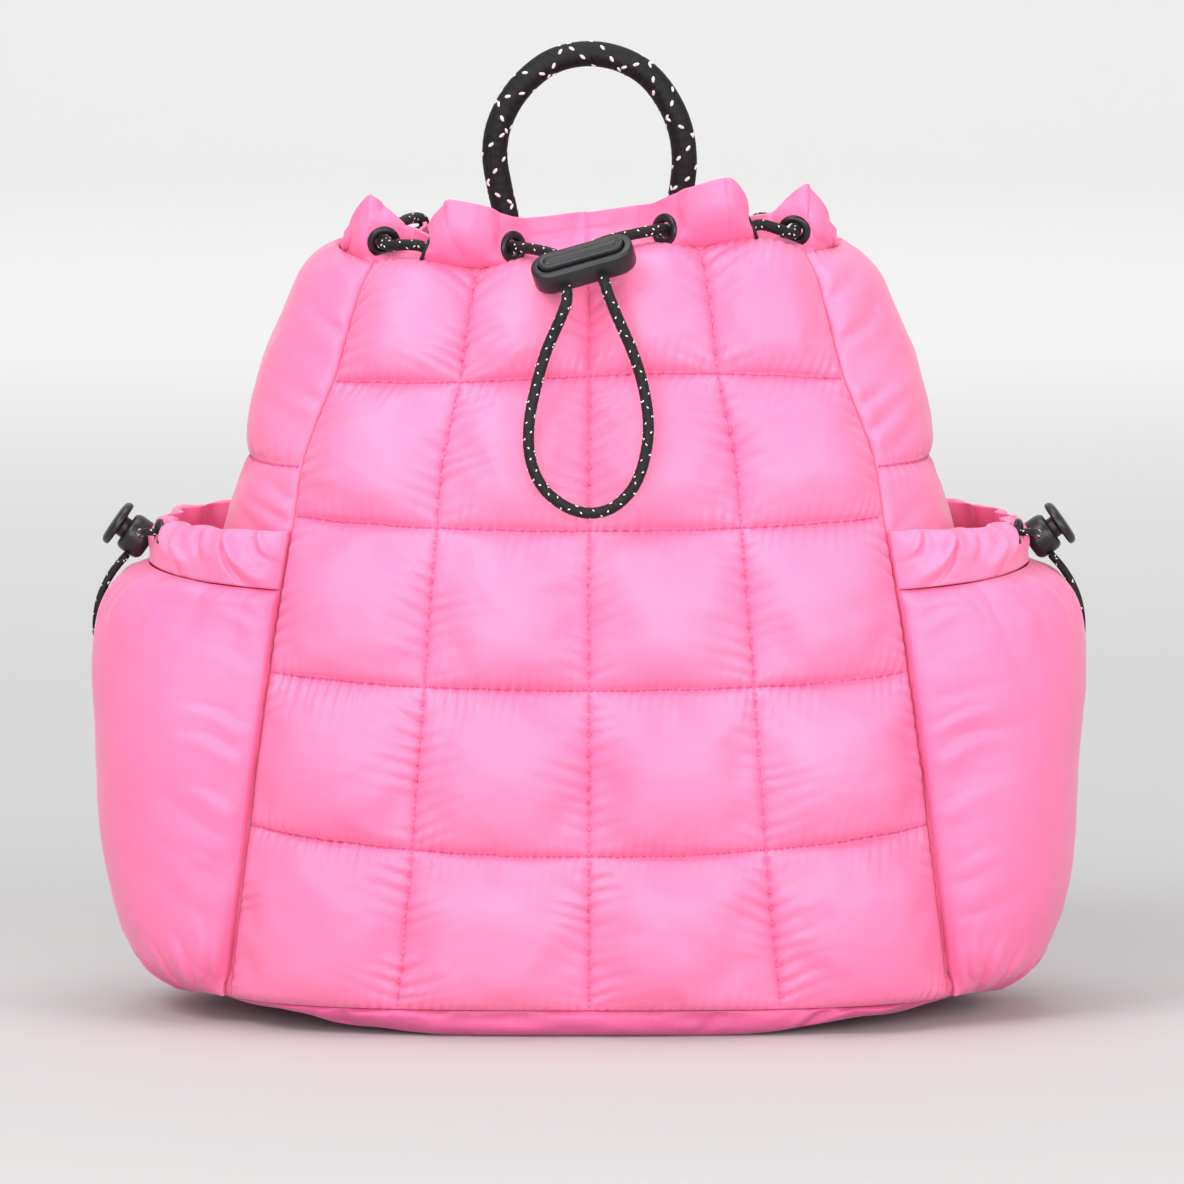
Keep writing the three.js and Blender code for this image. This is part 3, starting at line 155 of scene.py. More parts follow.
# Routes of the cords in metres, in the bag's own frame.
LOOP_ROUTE = [
    (-0.0091, -0.0846, 0.2957), (-0.0087, -0.0867, 0.2943), (-0.0085, -0.0888, 0.2924),
    (-0.0089, -0.0904, 0.2895), (-0.0102, -0.0910, 0.2858), (-0.0120, -0.0908, 0.2815),
    (-0.0140, -0.0901, 0.2770), (-0.0167, -0.0900, 0.2705), (-0.0189, -0.0909, 0.2635),
    (-0.0211, -0.0928, 0.2550), (-0.0228, -0.0954, 0.2468), (-0.0235, -0.0978, 0.2393),
    (-0.0232, -0.0996, 0.2323), (-0.0214, -0.1008, 0.2250), (-0.0178, -0.1013, 0.2184),
    (-0.0126, -0.1015, 0.2134), (-0.0064, -0.1015, 0.2099), (0.0006, -0.1015, 0.2085),
    (0.0076, -0.1015, 0.2099), (0.0129, -0.1015, 0.2134), (0.0172, -0.1013, 0.2184),
    (0.0203, -0.1008, 0.2250), (0.0222, -0.0996, 0.2323), (0.0231, -0.0978, 0.2393),
    (0.0229, -0.0954, 0.2468), (0.0216, -0.0928, 0.2550), (0.0196, -0.0909, 0.2630),
    (0.0170, -0.0899, 0.2705), (0.0138, -0.0900, 0.2780), (0.0110, -0.0909, 0.2844),
    (0.0090, -0.0911, 0.2894), (0.0074, -0.0906, 0.2934), (0.0064, -0.0890, 0.2965),
    (0.0058, -0.0870, 0.2982), (0.0050, -0.0846, 0.2996),
]
# Half of the pocket's loop, up to its lowest point. The other half mirrors it.
POCKET_LOOP_HALF = [
    (0.0, -0.0026, 0.0), (0.0029, -0.0032, -0.0032), (0.0058, -0.0043, -0.0070),
    (0.0083, -0.0056, -0.0112), (0.0102, -0.0066, -0.0156), (0.0114, -0.0072, -0.0202),
    (0.0120, -0.0072, -0.0248), (0.0122, -0.0062, -0.0282), (0.0123, -0.0036, -0.0307),
]
POCKET_LOOP_ROUTE = POCKET_LOOP_HALF + [(0.0123, 0.0, -0.0316)]
POCKET_LOOP_ROUTE += [(x, -y, z) for x, y, z in reversed(POCKET_LOOP_HALF)]
HANDLE_ROUTE = [
    (-0.0325, 0.0760, 0.3039), (-0.0336, 0.0760, 0.3120), (-0.0362, 0.0752, 0.3240),
    (-0.0380, 0.0740, 0.3360), (-0.0368, 0.0730, 0.3470), (-0.0320, 0.0725, 0.3580),
    (-0.0248, 0.0720, 0.3670), (-0.0145, 0.0720, 0.3745), (-0.0010, 0.0720, 0.3775),
    (0.0120, 0.0720, 0.3755), (0.0230, 0.0720, 0.3695), (0.0310, 0.0725, 0.3600),
    (0.0365, 0.0730, 0.3480), (0.0384, 0.0740, 0.3360), (0.0376, 0.0752, 0.3240),
    (0.0352, 0.0760, 0.3120), (0.0340, 0.0760, 0.3039),
]

TURN = 2 * math.pi


# Camera
PHOTO_SIDE = 1184
MM_PER_PIXEL = 0.4
ELEVATION = math.radians(6)
CAMERA_DISTANCE = 4.5
SENSOR = 36.0
# The bag's middle column and the row of its foot, in the photo's pixels.
MIDDLE_COLUMN = 589
FOOT_ROW = 1032
# How far the foot's row lies under the origin in the tilted view.
FOOT_DROP = 9.9


def make_camera():
    up = Vector((0, math.sin(ELEVATION), math.cos(ELEVATION)))
    look = Vector((0, math.cos(ELEVATION), -math.sin(ELEVATION)))
    middle_across = (PHOTO_SIDE / 2 - MIDDLE_COLUMN) * MM_PER_PIXEL
    middle_up = (FOOT_ROW - PHOTO_SIDE / 2) * MM_PER_PIXEL - FOOT_DROP
    target = (Vector((middle_across, 0, 0)) + up * middle_up + Vector(SHIFT)) / 1000
    data = bpy.data.cameras.new("camera")
    data.sensor_width = SENSOR
    data.lens = SENSOR * CAMERA_DISTANCE / (PHOTO_SIDE * MM_PER_PIXEL / 1000)
    camera = bpy.data.objects.new("camera", data)
    camera.location = target - look * CAMERA_DISTANCE
    camera.rotation_euler = look.to_track_quat("-Z", "Y").to_euler()
    bpy.context.scene.collection.objects.link(camera)
    bpy.context.scene.camera = camera


make_camera()


# Helpers
def smooth(value, low, high):
    t = np.clip((np.asarray(value, float) - low) / (high - low), 0, 1)
    return t * t * (3 - 2 * t)


def lattice(ix, iy, seed):
    h = np.sin(ix * 127.1 + iy * 311.7 + seed * 74.7) * 43758.5453
    return h - np.floor(h)


def noise(x, y=0.0, seed=0):
    """Smooth noise from -1 to 1 with lattice spacing 1."""
    x, y = np.broadcast_arrays(np.asarray(x, float), np.asarray(y, float))
    ix, iy = np.floor(x), np.floor(y)
    fx, fy = x - ix, y - iy
    fx = fx * fx * fx * (fx * (fx * 6 - 15) + 10)
    fy = fy * fy * fy * (fy * (fy * 6 - 15) + 10)
    a = lattice(ix, iy, seed) * (1 - fx) + lattice(ix + 1, iy, seed) * fx
    b = lattice(ix, iy + 1, seed) * (1 - fx) + lattice(ix + 1, iy + 1, seed) * fx
    return 2 * (a * (1 - fy) + b * fy) - 1


def rough(x, y, seed=0, octaves=3):
    total, size = 0.0, 1.0
    for octave in range(octaves):
        total = total + size * noise(x * 2**octave, y * 2**octave, seed + 17 * octave)
        size *= 0.5
    return total / 1.75


def ridge(phase):
    """A fold's profile along its row, 1 at the crest and sharp in the valley."""
    return 2 * np.abs(np.cos(phase / 2)) ** 0.8 - 1


def crumple(x, y, seed=0):
    """Noise with narrow crests, as in creased thin cloth."""
    first = 1 - 2.4 * np.abs(noise(x, y, seed))
    return (first + 0.5 * (1 - 2.4 * np.abs(noise(x * 2.1, y * 2.1, seed + 5)))) / 1.5


def read_table(keys, values, at):
    """The value at `at` on a smooth curve through the rows."""
    at = np.clip(at, keys[0], keys[-1])
    slope = np.empty(len(keys))
    last = len(keys) - 1
    for i in range(len(keys)):
        before, after = max(i - 1, 0), min(i + 1, last)
        slope[i] = (values[after] - values[before]) / (keys[after] - keys[before])
    row = np.clip(np.searchsorted(keys, at, side="left") - 1, 0, last - 1)
    span = keys[row + 1] - keys[row]
    t = (at - keys[row]) / span
    t2, t3 = t * t, t * t * t
    return (
        (2 * t3 - 3 * t2 + 1) * values[row]
        + (t3 - 2 * t2 + t) * span * slope[row]
        + (3 * t2 - 2 * t3) * values[row + 1]
        + (t3 - t2) * span * slope[row + 1]
    )


def shares(across, up):
    """The shares from 0 to 1 of a grid's columns and of its rows."""
    return np.linspace(0, 1, across + 1)[None, :], np.linspace(0, 1, up + 1)[:, None]


def lengths_along(points):
    steps = np.linalg.norm(np.diff(points, axis=0), axis=1)
    return np.concatenate([[0], np.cumsum(steps)])


def unit(v):
    return v / np.maximum(np.linalg.norm(v, axis=-1, keepdims=True), 1e-9)


def grid_normals(points, ring=False):
    """Outward unit normals of a grid whose columns run right seen from outside and rows run up."""
    if ring:
        across = np.roll(points, -1, 1) - np.roll(points, 1, 1)
    else:
        across = np.gradient(points, axis=1)
    return unit(np.cross(across, np.gradient(points, axis=0)))


def section_at(z):
    share = np.clip((z - BASE_SEAM) / (BODY_TOP - BASE_SEAM), 0, 1)
    read = {
        name: read_table(SECTIONS[:, 0], SECTIONS[:, i], share)
        for i, name in enumerate(SECTION_COLUMNS)
        if i
    }
    corner = lambda seam: np.arcsin(seam ** (CORNER_POWER / 2))
    return (
        BODY_HALF_WIDTH * read["width"],
        BODY_HALF_DEPTH * read["depth"],
        BODY_HALF_DEPTH * read["back_shift"],
        corner(read["front_seam"]),
        math.pi - corner(read["rear_seam"]),
    )


def bend(value):
    return np.sign(value) * np.abs(value) ** (2 / CORNER_POWER)


ARC_STEPS = 144
PANELS = {
    "front": lambda front, rear: (-front, front),
    "right": lambda front, rear: (front, rear),
    "back": lambda front, rear: (rear, TURN - rear),
    "left": lambda front, rear: (TURN - rear, TURN - front),
    "around": lambda front, rear: (0 * front, 0 * front - TURN),
}


def body_points(panel, u, z):
    """Points of the body's sewn surface at shares u along a panel and heights z."""
    u, z = np.broadcast_arrays(np.asarray(u, float), np.asarray(z, float))
    shape = u.shape
    u, z = u.ravel(), z.ravel()
    out = np.empty((u.size, 3))
    t = np.linspace(0, 1, ARC_STEPS + 1)
    for start in range(0, u.size, 4096):
        part = slice(start, start + 4096)
        width, depth, middle, front, rear = section_at(z[part])
        first, last = PANELS[panel](front, rear)
        angle = first[:, None] + (last - first)[:, None] * t
        px = width[:, None] * bend(np.sin(angle))
        py = middle[:, None] - depth[:, None] * bend(np.cos(angle))
        steps = np.hypot(np.diff(px), np.diff(py))
        length = np.concatenate([np.zeros((len(px), 1)), np.cumsum(steps, 1)], 1)
        total = length[:, -1]
        inset = 0 if panel == "around" else SEAM_GAP / 2 / total
        wanted = total * (inset + (1 - 2 * inset) * u[part])
        step = np.clip((length < wanted[:, None]).sum(1), 1, ARC_STEPS)
        row = np.arange(len(px))
        low = length[row, step - 1]
        share = (wanted - low) / (length[row, step] - low)
        out[part, 0] = px[row, step - 1] * (1 - share) + px[row, step] * share
        out[part, 1] = py[row, step - 1] * (1 - share) + py[row, step] * share
        out[part, 2] = z[part]
    return out.reshape(shape + (3,))


def slouch(points):
    """The tilt of the front's top edge."""
    high = smooth(points[..., 2], BODY_TOP * 0.75, BODY_TOP)
    front = np.clip(-points[..., 1] / (BODY_HALF_DEPTH * 0.55), 0, 1)
    along = np.sin((math.pi / 2) * points[..., 0] / FRONT_TILT_AT)
    reach = np.abs(points[..., 0]) < 2 * FRONT_TILT_AT
    moved = points.copy()
    moved[..., 2] += FRONT_TILT * high * front * along * reach
    return moved


def between(a, b, c, d, t):
    """The value at share t from b to c on a smooth curve through four neighbours."""
    return b + 0.5 * t * (c - a + t * (2 * a - 5 * b + 4 * c - d + t * (3 * (b - c) + d - a)))


def crown(share, fullness):
    return 1 - np.abs(2 * share - 1) ** fullness


# Materials
def wired(tree, kind, output, links=(), settings=(), **values):
    """The output socket of a new node with some settings, linked inputs and plain values."""
    made = tree.nodes.new(kind)
    for name, value in settings:
        setattr(made, name, value)
    for name, value in values.items():
        made.inputs[name.replace("_", " ")].default_value = value
    for name, source in links:
        tree.links.new(source, made.inputs[name])
    return made.outputs[output]


def new_material(name):
    material = bpy.data.materials.new(name)
    material.use_nodes = True
    tree = material.node_tree
    coords = wired(tree, "ShaderNodeTexCoord", "Object")
    return material, tree, tree.nodes["Principled BSDF"], coords


def set_inputs(shader, **values):
    for name, value in values.items():
        shader.inputs[name.replace("_", " ")].default_value = value


def mix_colour(tree, factor, first, second):
    made = tree.nodes.new("ShaderNodeMix")
    made.data_type = "RGBA"
    tree.links.new(factor, made.inputs["Factor"])
    for socket, value in (("A", first), ("B", second)):
        target = [s for s in made.inputs if s.name == socket and s.type == "RGBA"][0]
        target.default_value = value
    return [s for s in made.outputs if s.type == "RGBA"][0]


def ramp(tree, source, low, high):
    return wired(tree, "ShaderNodeMapRange", "Result", [("Value", source)],
                 From_Min=low, From_Max=high)


def noise_texture(tree, coords, scale, detail):
    return wired(tree, "ShaderNodeTexNoise", "Fac", [("Vector", coords)], Scale=scale,
                 Detail=detail)


def wave_texture(tree, coords, axis, scale):
    return wired(tree, "ShaderNodeTexWave", "Fac", [("Vector", coords)],
                 [("bands_direction", axis)], Scale=scale)


def bump(tree, height, distance, strength, before=None):
    links = [("Height", height)] + ([("Normal", before)] if before else [])
    return wired(tree, "ShaderNodeBump", "Normal", links, Distance=distance, Strength=strength)


# How many waves or cells of each texture fit in a metre.
CLOUD_SCALE = 14
WEAVE_SCALE = 480
CREASE_SCALE = 85
GRAIN_SCALE = 900
SMEAR_SCALE = 60


def make_nylon(name, light, deep, roughness):
    material, tree, shader, coords = new_material(name)
    broad = noise_texture(tree, coords, CLOUD_SCALE, 3)
    colour = mix_colour(tree, ramp(tree, broad, 0.35, 0.7), light, deep)
    tree.links.new(colour, shader.inputs["Base Color"])
    set_inputs(
        shader,
        Roughness=roughness,
        Specular_IOR_Level=0.45,
        Sheen_Weight=0.25,
        Sheen_Roughness=0.35,
        Sheen_Tint=(1.0, 0.72, 0.88, 1),
    )
    threads = [(i, wave_texture(tree, coords, axis, WEAVE_SCALE)) for i, axis in enumerate("XZ")]
    weave = wired(tree, "ShaderNodeMath", 0, threads, [("operation", "ADD")])
    creased = noise_texture(tree, coords, CREASE_SCALE, 4)
    normal = bump(tree, creased, 0.0005, 0.16, bump(tree, weave, 0.00008, 0.35))
    tree.links.new(normal, shader.inputs["Normal"])
    return material


def make_yarn(name, dark, light, scale):
    material, tree, shader, coords = new_material(name)
    stretched = wired(tree, "ShaderNodeMapping", "Vector", [("Vector", coords)],
                      Scale=(1, 1, 0.4))
    fibre = noise_texture(tree, stretched, scale, 4)
    colour = mix_colour(tree, ramp(tree, fibre, 0.35, 0.7), dark, light)
    tree.links.new(colour, shader.inputs["Base Color"])
    set_inputs(shader, Roughness=0.62, Specular_IOR_Level=0.3, Sheen_Weight=0.05)
    tree.links.new(bump(tree, fibre, 0.0002, 0.6), shader.inputs["Normal"])
    return material


def make_plastic(name, colour, roughness, metallic=0.0):
    material, tree, shader, coords = new_material(name)
    grain = noise_texture(tree, coords, GRAIN_SCALE, 2)
    cloud = noise_texture(tree, coords, SMEAR_SCALE, 3)
    paler = tuple(min(1, c * 1.5 + 0.004) for c in colour[:3]) + (1,)
    mixed = mix_colour(tree, ramp(tree, cloud, 0.3, 0.75), colour, paler)
    tree.links.new(mixed, shader.inputs["Base Color"])
    spread = wired(tree, "ShaderNodeMapRange", "Result", [("Value", cloud)],
                   To_Min=roughness - 0.05, To_Max=roughness + 0.08)
    tree.links.new(spread, shader.inputs["Roughness"])
    set_inputs(shader, Metallic=metallic)
    tree.links.new(bump(tree, grain, 0.00006, 0.35), shader.inputs["Normal"])
    return material


NYLON = make_nylon("pink_shell", (0.95, 0.22, 0.415, 1), (0.92, 0.18, 0.37, 1), 0.42)
NYLON_SMOOTH = make_nylon("pink_pocket", (0.93, 0.2, 0.405, 1), (0.89, 0.165, 0.36, 1), 0.44)
# A darker copy of the shell's nylon for the base strip: painted shade low by the floor.
NYLON_BASE_PAINTED_SHADE = make_nylon("pink_base_painted_shade", (0.7, 0.118, 0.295, 1), (0.64, 0.095, 0.25, 1), 0.46)
THREAD = make_yarn("pink_thread", (0.66, 0.09, 0.29, 1), (0.78, 0.13, 0.36, 1), 700)
# A paler copy of the same thread for the upright seams: painted light, so these lines read less dark
# than the level ones.
THREAD_PAINTED_LIGHT = make_yarn("pink_thread_painted_light", (0.8, 0.15, 0.37, 1), (0.88, 0.2, 0.44, 1), 700)
CORD = make_yarn("black_yarn", (0.0025, 0.0025, 0.003, 1), (0.01, 0.0095, 0.011, 1), 900)
FLECK = make_yarn("pale_yarn", (0.72, 0.6, 0.66, 1), (0.95, 0.88, 0.92, 1), 1200)
WEBBING = make_yarn("black_webbing", (0.008, 0.008, 0.009, 1), (0.03, 0.028, 0.032, 1), 500)
PLASTIC = make_plastic("black_moulding", (0.008, 0.007, 0.009, 1), 0.34)
ENAMEL = make_plastic("black_enamel", (0.010, 0.010, 0.011, 1), 0.3, 0.3)


# Mesh building
def make_object(name, points, faces, material, body="bag", replaces=()):
    mesh = bpy.data.meshes.new(name)
    points = (np.asarray(points, float).reshape(-1, 3) + SHIFT) / 1000
    mesh.from_pydata(points.tolist(), [], [tuple(face) for face in faces])
    mesh.validate()
    mesh.polygons.foreach_set("use_smooth", [True] * len(mesh.polygons))
    mesh.materials.append(material)
    made = bpy.data.objects.new(name, mesh)
    bpy.context.scene.collection.objects.link(made)
    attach(made, body)
    if replaces:
        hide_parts(*replaces)
    return made


def soft_piece(name, points, faces, material, stands_for):
    """A padded piece of the bag's cloth that replaces one CAD node."""
    piece = make_object(name, points, faces, material, replaces=(stands_for,))


def quads(index, ring, flip=False):
    nxt = np.roll(index, -1, 1) if ring else index[:, 1:]
    here = index if ring else index[:, :-1]
    faces = np.stack([here[:-1], nxt[:-1], nxt[1:], here[1:]], -1).reshape(-1, 4)
    return faces[:, ::-1] if flip else faces


def capped(rings, first, last):
    """A tube of rings, closed by a fan of faces at each of two end points."""
    count, around = rings.shape[:2]
    index = np.arange(count * around).reshape(count, around)
    faces = quads(index, True).tolist()
    low = count * around
    for i in range(around):
        j = (i + 1) % around
        faces.append([low, int(index[0, j]), int(index[0, i])])
        faces.append([low + 1, int(index[-1, i]), int(index[-1, j])])
    return np.concatenate([rings.reshape(-1, 3), first[None], last[None]]), faces


def flipped(faces):
    return [face[::-1] for face in faces]


def wall(outer, inner, ring=False, keep=None):
    """A closed wall between two grids of one size. `keep` marks the cells that aren't cut out."""
    rows, columns = outer.shape[:2]
    out = np.arange(rows * columns).reshape(rows, columns)
    inn = out + rows * columns
    if keep is None:
        keep = np.ones((rows - 1, columns if ring else columns - 1), bool)
    chosen = keep.ravel()
    faces = [quads(out, ring)[chosen], quads(inn, ring, True)[chosen]]
    padded = np.zeros((keep.shape[0] + 2, keep.shape[1] + 2), bool)
    padded[1:-1, 1:-1] = keep
    if ring:
        padded[1:-1, 0] = keep[:, -1]
        padded[1:-1, -1] = keep[:, 0]
    sides = []
    for j, i in np.argwhere(keep):
        a, b = out[j, i], out[j, (i + 1) % columns]
        c, d = out[j + 1, (i + 1) % columns], out[j + 1, i]
        shift = rows * columns
        if not padded[j, i + 1]:
            sides.append((b, a, a + shift, b + shift))
        if not padded[j + 2, i + 1]:
            sides.append((d, c, c + shift, d + shift))
        if not padded[j + 1, i]:
            sides.append((a, d, d + shift, a + shift))
        if not padded[j + 1, i + 2]:
            sides.append((c, b, b + shift, c + shift))
    faces.append(np.array(sides))
    points = np.concatenate([outer.reshape(-1, 3), inner.reshape(-1, 3)])
    used, faces = np.unique(np.concatenate(faces), return_inverse=True)
    return points[used], faces.reshape(-1, 4)


def lined(outer, inner):
    """A closed wall whose inner grid has one step for each STRIDE steps of the outer one."""
    rows, columns = outer.shape[:2]
    out = np.arange(rows * columns).reshape(rows, columns)
    inn = np.arange(inner.shape[0] * inner.shape[1]).reshape(inner.shape[:2]) + rows * columns
    faces = quads(out, False).tolist() + quads(inn, False, True).tolist()
    edges = [
        (out[0], inn[0]),
        (out[-1, ::-1], inn[-1, ::-1]),
        (out[:, -1], inn[:, -1]),
        (out[::-1, 0], inn[::-1, 0]),
    ]
    for long, short in edges:
        for k in range(len(short) - 1):
            run = long[k * STRIDE : (k + 1) * STRIDE + 1]
            half = STRIDE // 2
            for m in range(STRIDE):
                near = short[k] if m < half else short[k + 1]
                faces.append([int(run[m + 1]), int(run[m]), int(near)])
            faces.append([int(run[half]), int(short[k]), int(short[k + 1])])
    return np.concatenate([outer.reshape(-1, 3), inner.reshape(-1, 3)]), faces


CLOTH_FRAMES = 14
# The cloth and the linings have one step for this many steps of the outer surface.
STRIDE = 4
# How each cloth is blown up: pressure, growth, stiffness in bending, and the longest move.
FRONT_BLOW = (5.0, 0.035, 0.25, 2.2)
SIDE_BLOW = (4.0, 0.03, 0.25, 2.0)
BACK_BLOW = (3.0, 0.01, 0.6, 1.5)
POCKET_BLOW = (2.2, 0.02, 0.5, 2.5)


def cloth_move(points, pinned, blow):
    """How far each point of a grid of cloth moves when it is blown up between its pinned points."""
    pressure, grow, bending, cap = blow
    rows, columns = points.shape[:2]
    index = np.arange(rows * columns).reshape(rows, columns)
    mesh = bpy.data.meshes.new("cloth")
    mesh.from_pydata((points.reshape(-1, 3) / 1000).tolist(), [], quads(index, False).tolist())
    sheet = bpy.data.objects.new("cloth", mesh)
    scene = bpy.context.scene
    scene.collection.objects.link(sheet)
    group = sheet.vertex_groups.new(name="pin")
    group.add([int(i) for i in np.flatnonzero(pinned.ravel())], 1.0, "REPLACE")
    modifier = sheet.modifiers.new("Cloth", "CLOTH")
    settings = dict(
        quality=4, mass=0.12, tension_stiffness=12, compression_stiffness=12, shear_stiffness=4,
        bending_stiffness=bending, use_pressure=True, uniform_pressure_force=pressure,
        shrink_min=-grow, vertex_group_mass="pin",
    )
    for name, value in settings.items():
        setattr(modifier.settings, name, value)
    modifier.settings.effector_weights.gravity = 0
    modifier.point_cache.frame_start = 1
    modifier.point_cache.frame_end = CLOTH_FRAMES
    for number in range(1, CLOTH_FRAMES + 1):
        scene.frame_set(number)
    shaped = sheet.evaluated_get(bpy.context.evaluated_depsgraph_get())
    settled = np.empty(rows * columns * 3)
    shaped.data.vertices.foreach_get("co", settled)
    bpy.data.objects.remove(sheet)
    bpy.data.meshes.remove(mesh)
    scene.frame_set(1)
    moved = settled.reshape(points.shape) * 1000 - points
    length = np.linalg.norm(moved, axis=-1, keepdims=True)
    return moved * np.minimum(1, cap / np.maximum(length, 1e-6))


def softened(field):
    """Evens out a grid of vectors whose border stays still."""
    for _ in range(2):
        inner = field[1:-1, 1:-1]
        around = field[:-2, 1:-1] + field[2:, 1:-1] + field[1:-1, :-2] + field[1:-1, 2:]
        field = field.copy()
        field[1:-1, 1:-1] = inner * 0.4 + around * 0.15
    return field


def upsample(field, rows, columns):
    """Stretches a grid of vectors onto a finer grid, along smooth curves."""
    for axis, count in ((0, rows), (1, columns)):
        last = field.shape[axis] - 1
        at = np.linspace(0, last, count)
        low = np.clip(np.floor(at).astype(int), 0, last - 1)
        t = (at - low).reshape([-1 if a == axis else 1 for a in range(3)])
        four = [np.take(field, np.clip(low + k, 0, last), axis) for k in (-1, 0, 1, 2)]
        field = between(*four, t)
    return field


def blown_up(outer, every_row, every_column, blow):
    """A grid blown up as cloth that is held along every such row and column."""
    coarse = outer[::STRIDE, ::STRIDE]
    pinned = np.zeros(coarse.shape[:2], bool)
    pinned[:: every_row // STRIDE] = True
    pinned[:, :: every_column // STRIDE] = True
    moved = cloth_move(coarse, pinned, blow)
    return outer + upsample(softened(moved), *outer.shape[:2])


def curve_points(route, spacing):
    """Evenly spaced points on the centripetal curve through a route's points, in millimetres."""
    p = np.array(route, float)
    p = np.vstack([2 * p[0] - p[1], p, 2 * p[-1] - p[-2]])
    dense = []
    for i in range(1, len(p) - 2):
        a, b, c, d = p[i - 1 : i + 3]
        t0, t1, t2 = (np.linalg.norm(y - x) ** 0.5 for x, y in ((a, b), (b, c), (c, d)))
        m1 = ((b - a) / t0 - (c - a) / (t0 + t1) + (c - b) / t1) * t1
        m2 = ((c - b) / t1 - (d - b) / (t1 + t2) + (d - c) / t2) * t1
        t = np.linspace(0, 1, 24, endpoint=False)[:, None]
        dense.append(
            (2 * t**3 - 3 * t**2 + 1) * b + (t**3 - 2 * t**2 + t) * m1
            + (3 * t**2 - 2 * t**3) * c + (t**3 - t**2) * m2
        )
    dense = np.vstack(dense + [p[-2:-1]])
    along = lengths_along(dense)
    count = max(int(round(along[-1] / spacing)), 4) + 1
    at = np.linspace(0, along[-1], count)
    return np.stack([np.interp(at, along, dense[:, k]) for k in range(3)], 1), along[-1]


def tube_frames(path):
    """Tangents and a pair of axes across the path that turn with it as little as they can."""
    tangent = unit(np.gradient(path, axis=0))
    side = np.empty_like(path)
    start = np.cross(tangent[0], [0.0, 1.0, 0.0])
    if np.linalg.norm(start) < 0.1:
        start = np.cross(tangent[0], [1.0, 0.0, 0.0])
    side[0] = start / np.linalg.norm(start)
    for i in range(1, len(path)):
        turned = side[i - 1] - tangent[i] * np.dot(side[i - 1], tangent[i])
        side[i] = turned / np.linalg.norm(turned)
    return tangent, side, np.cross(tangent, side)


def braided_cord(name, path, diameter, spec, replaces=(), around=24):
    """A braided tube with pale flecks that follow its crossing strands."""
    tangent, side, other = tube_frames(path)
    along = lengths_along(path)
    angle = np.linspace(0, TURN, around, endpoint=False)
    strands, pitch, relief = spec["strands"], spec["pitch"], spec["relief"]
    round_way = angle[None, :] * strands / 2
    long_way = along[:, None] * TURN / pitch * strands / 2
    weave = np.maximum(np.abs(np.cos(round_way + long_way)), np.abs(np.cos(round_way - long_way)))
    radius = diameter / 2 - relief * (1 - weave)
    outward = (np.cos(angle)[None, :, None] * side[:, None]
               + np.sin(angle)[None, :, None] * other[:, None])
    rings = path[:, None, :] + radius[..., None] * outward
    points, faces = capped(rings, path[0], path[-1])
    cord = make_object(name, points, faces, CORD, replaces=replaces)

    # Flecks: small domes laid along two crossing helices.
    fleck_points, fleck_faces = [], []
    length, width, height = spec["fleck"]
    rng = np.random.default_rng(spec["seed"])
    ball = [(math.cos(t) * math.cos(p), math.sin(t) * math.cos(p), math.sin(p))
            for p in (-0.5, 0.15, 0.75) for t in np.linspace(0, TURN, 8, endpoint=False)]
    ball.append((0, 0, 1.0))
    for helix, sign in enumerate(spec["helices"]):
        at = spec["start"] * (helix + 1)
        while at < along[-1] - spec["start"]:
            row = int(np.searchsorted(along, at))
            row = min(max(row, 1), len(path) - 2)
            theta = sign * TURN * at / spec["turn"] + helix * 2.4 + rng.uniform(-0.1, 0.1)
            out = math.cos(theta) * side[row] + math.sin(theta) * other[row]
            round_way = -math.sin(theta) * side[row] + math.cos(theta) * other[row]
            lean = math.atan2(sign * TURN * diameter / 2, spec["turn"])
            long = tangent[row] * math.cos(lean) + round_way * math.sin(lean)
            cross = np.cross(out, long)
            base = path[row] + out * (diameter / 2 - 0.25 * height)
            offset = len(fleck_points)
            for x, y, z in ball:
                bow = -((x * length / 2 * math.sin(lean)) ** 2 + (y * width / 2) ** 2) / diameter
                fleck_points.append(
                    base + long * x * length / 2 + cross * y * width / 2 + out * (z * height + bow)
                )
            for level in range(2):
                for k in range(8):
                    m = (k + 1) % 8
                    lo, hi = offset + level * 8, offset + (level + 1) * 8
                    fleck_faces.append([lo + k, lo + m, hi + m, hi + k])
            for k in range(8):
                fleck_faces.append([offset + 16 + k, offset + 16 + (k + 1) % 8, offset + 24])
            fleck_faces.append([offset + k for k in reversed(range(8))])
            at += spec["step"] * rng.uniform(0.92, 1.08)
    return cord, make_object(name + "_flecks", fleck_points, fleck_faces, FLECK)


def hanging_loop(name, path, diameter, spec, stands_for):
    """A cord that hangs free, held by the bag at both its ends."""
    cord, flecks = braided_cord(name, path, diameter, spec, replaces=(stands_for,))


CORD_SPEC = dict(strands=10, pitch=9.0, relief=0.32, fleck=(1.15, 0.62, 0.25), helices=(1, 1, -1),
                 turn=15.0, start=1.6, step=3.0, seed=4)
POCKET_SPEC = dict(strands=8, pitch=7.0, relief=0.22, fleck=(1.1, 0.6, 0.22), helices=(1, -1),
                   turn=11.0, start=1.2, step=2.8, seed=9)
ROPE_SPEC = dict(strands=20, pitch=26.0, relief=0.5, fleck=(2.9, 1.4, 0.4), helices=(1, 1, -1),
                 turn=32.0, start=3.0, step=4.4, seed=2)


def lock_matrix():
    face = math.radians(54)
    up = Vector((0, -math.cos(face), math.sin(face)))
    long = Vector((1, 0, 0))
    low = long.cross(up)
    lean = Matrix.Rotation(math.radians(15.8), 4, Vector((0, -1, 0)))
    axes = Matrix((long, up, low)).transposed().to_4x4()
    return Matrix.Translation((-2, -81, BODY_TOP + 1)) @ lean @ axes


LOCK = lock_matrix()


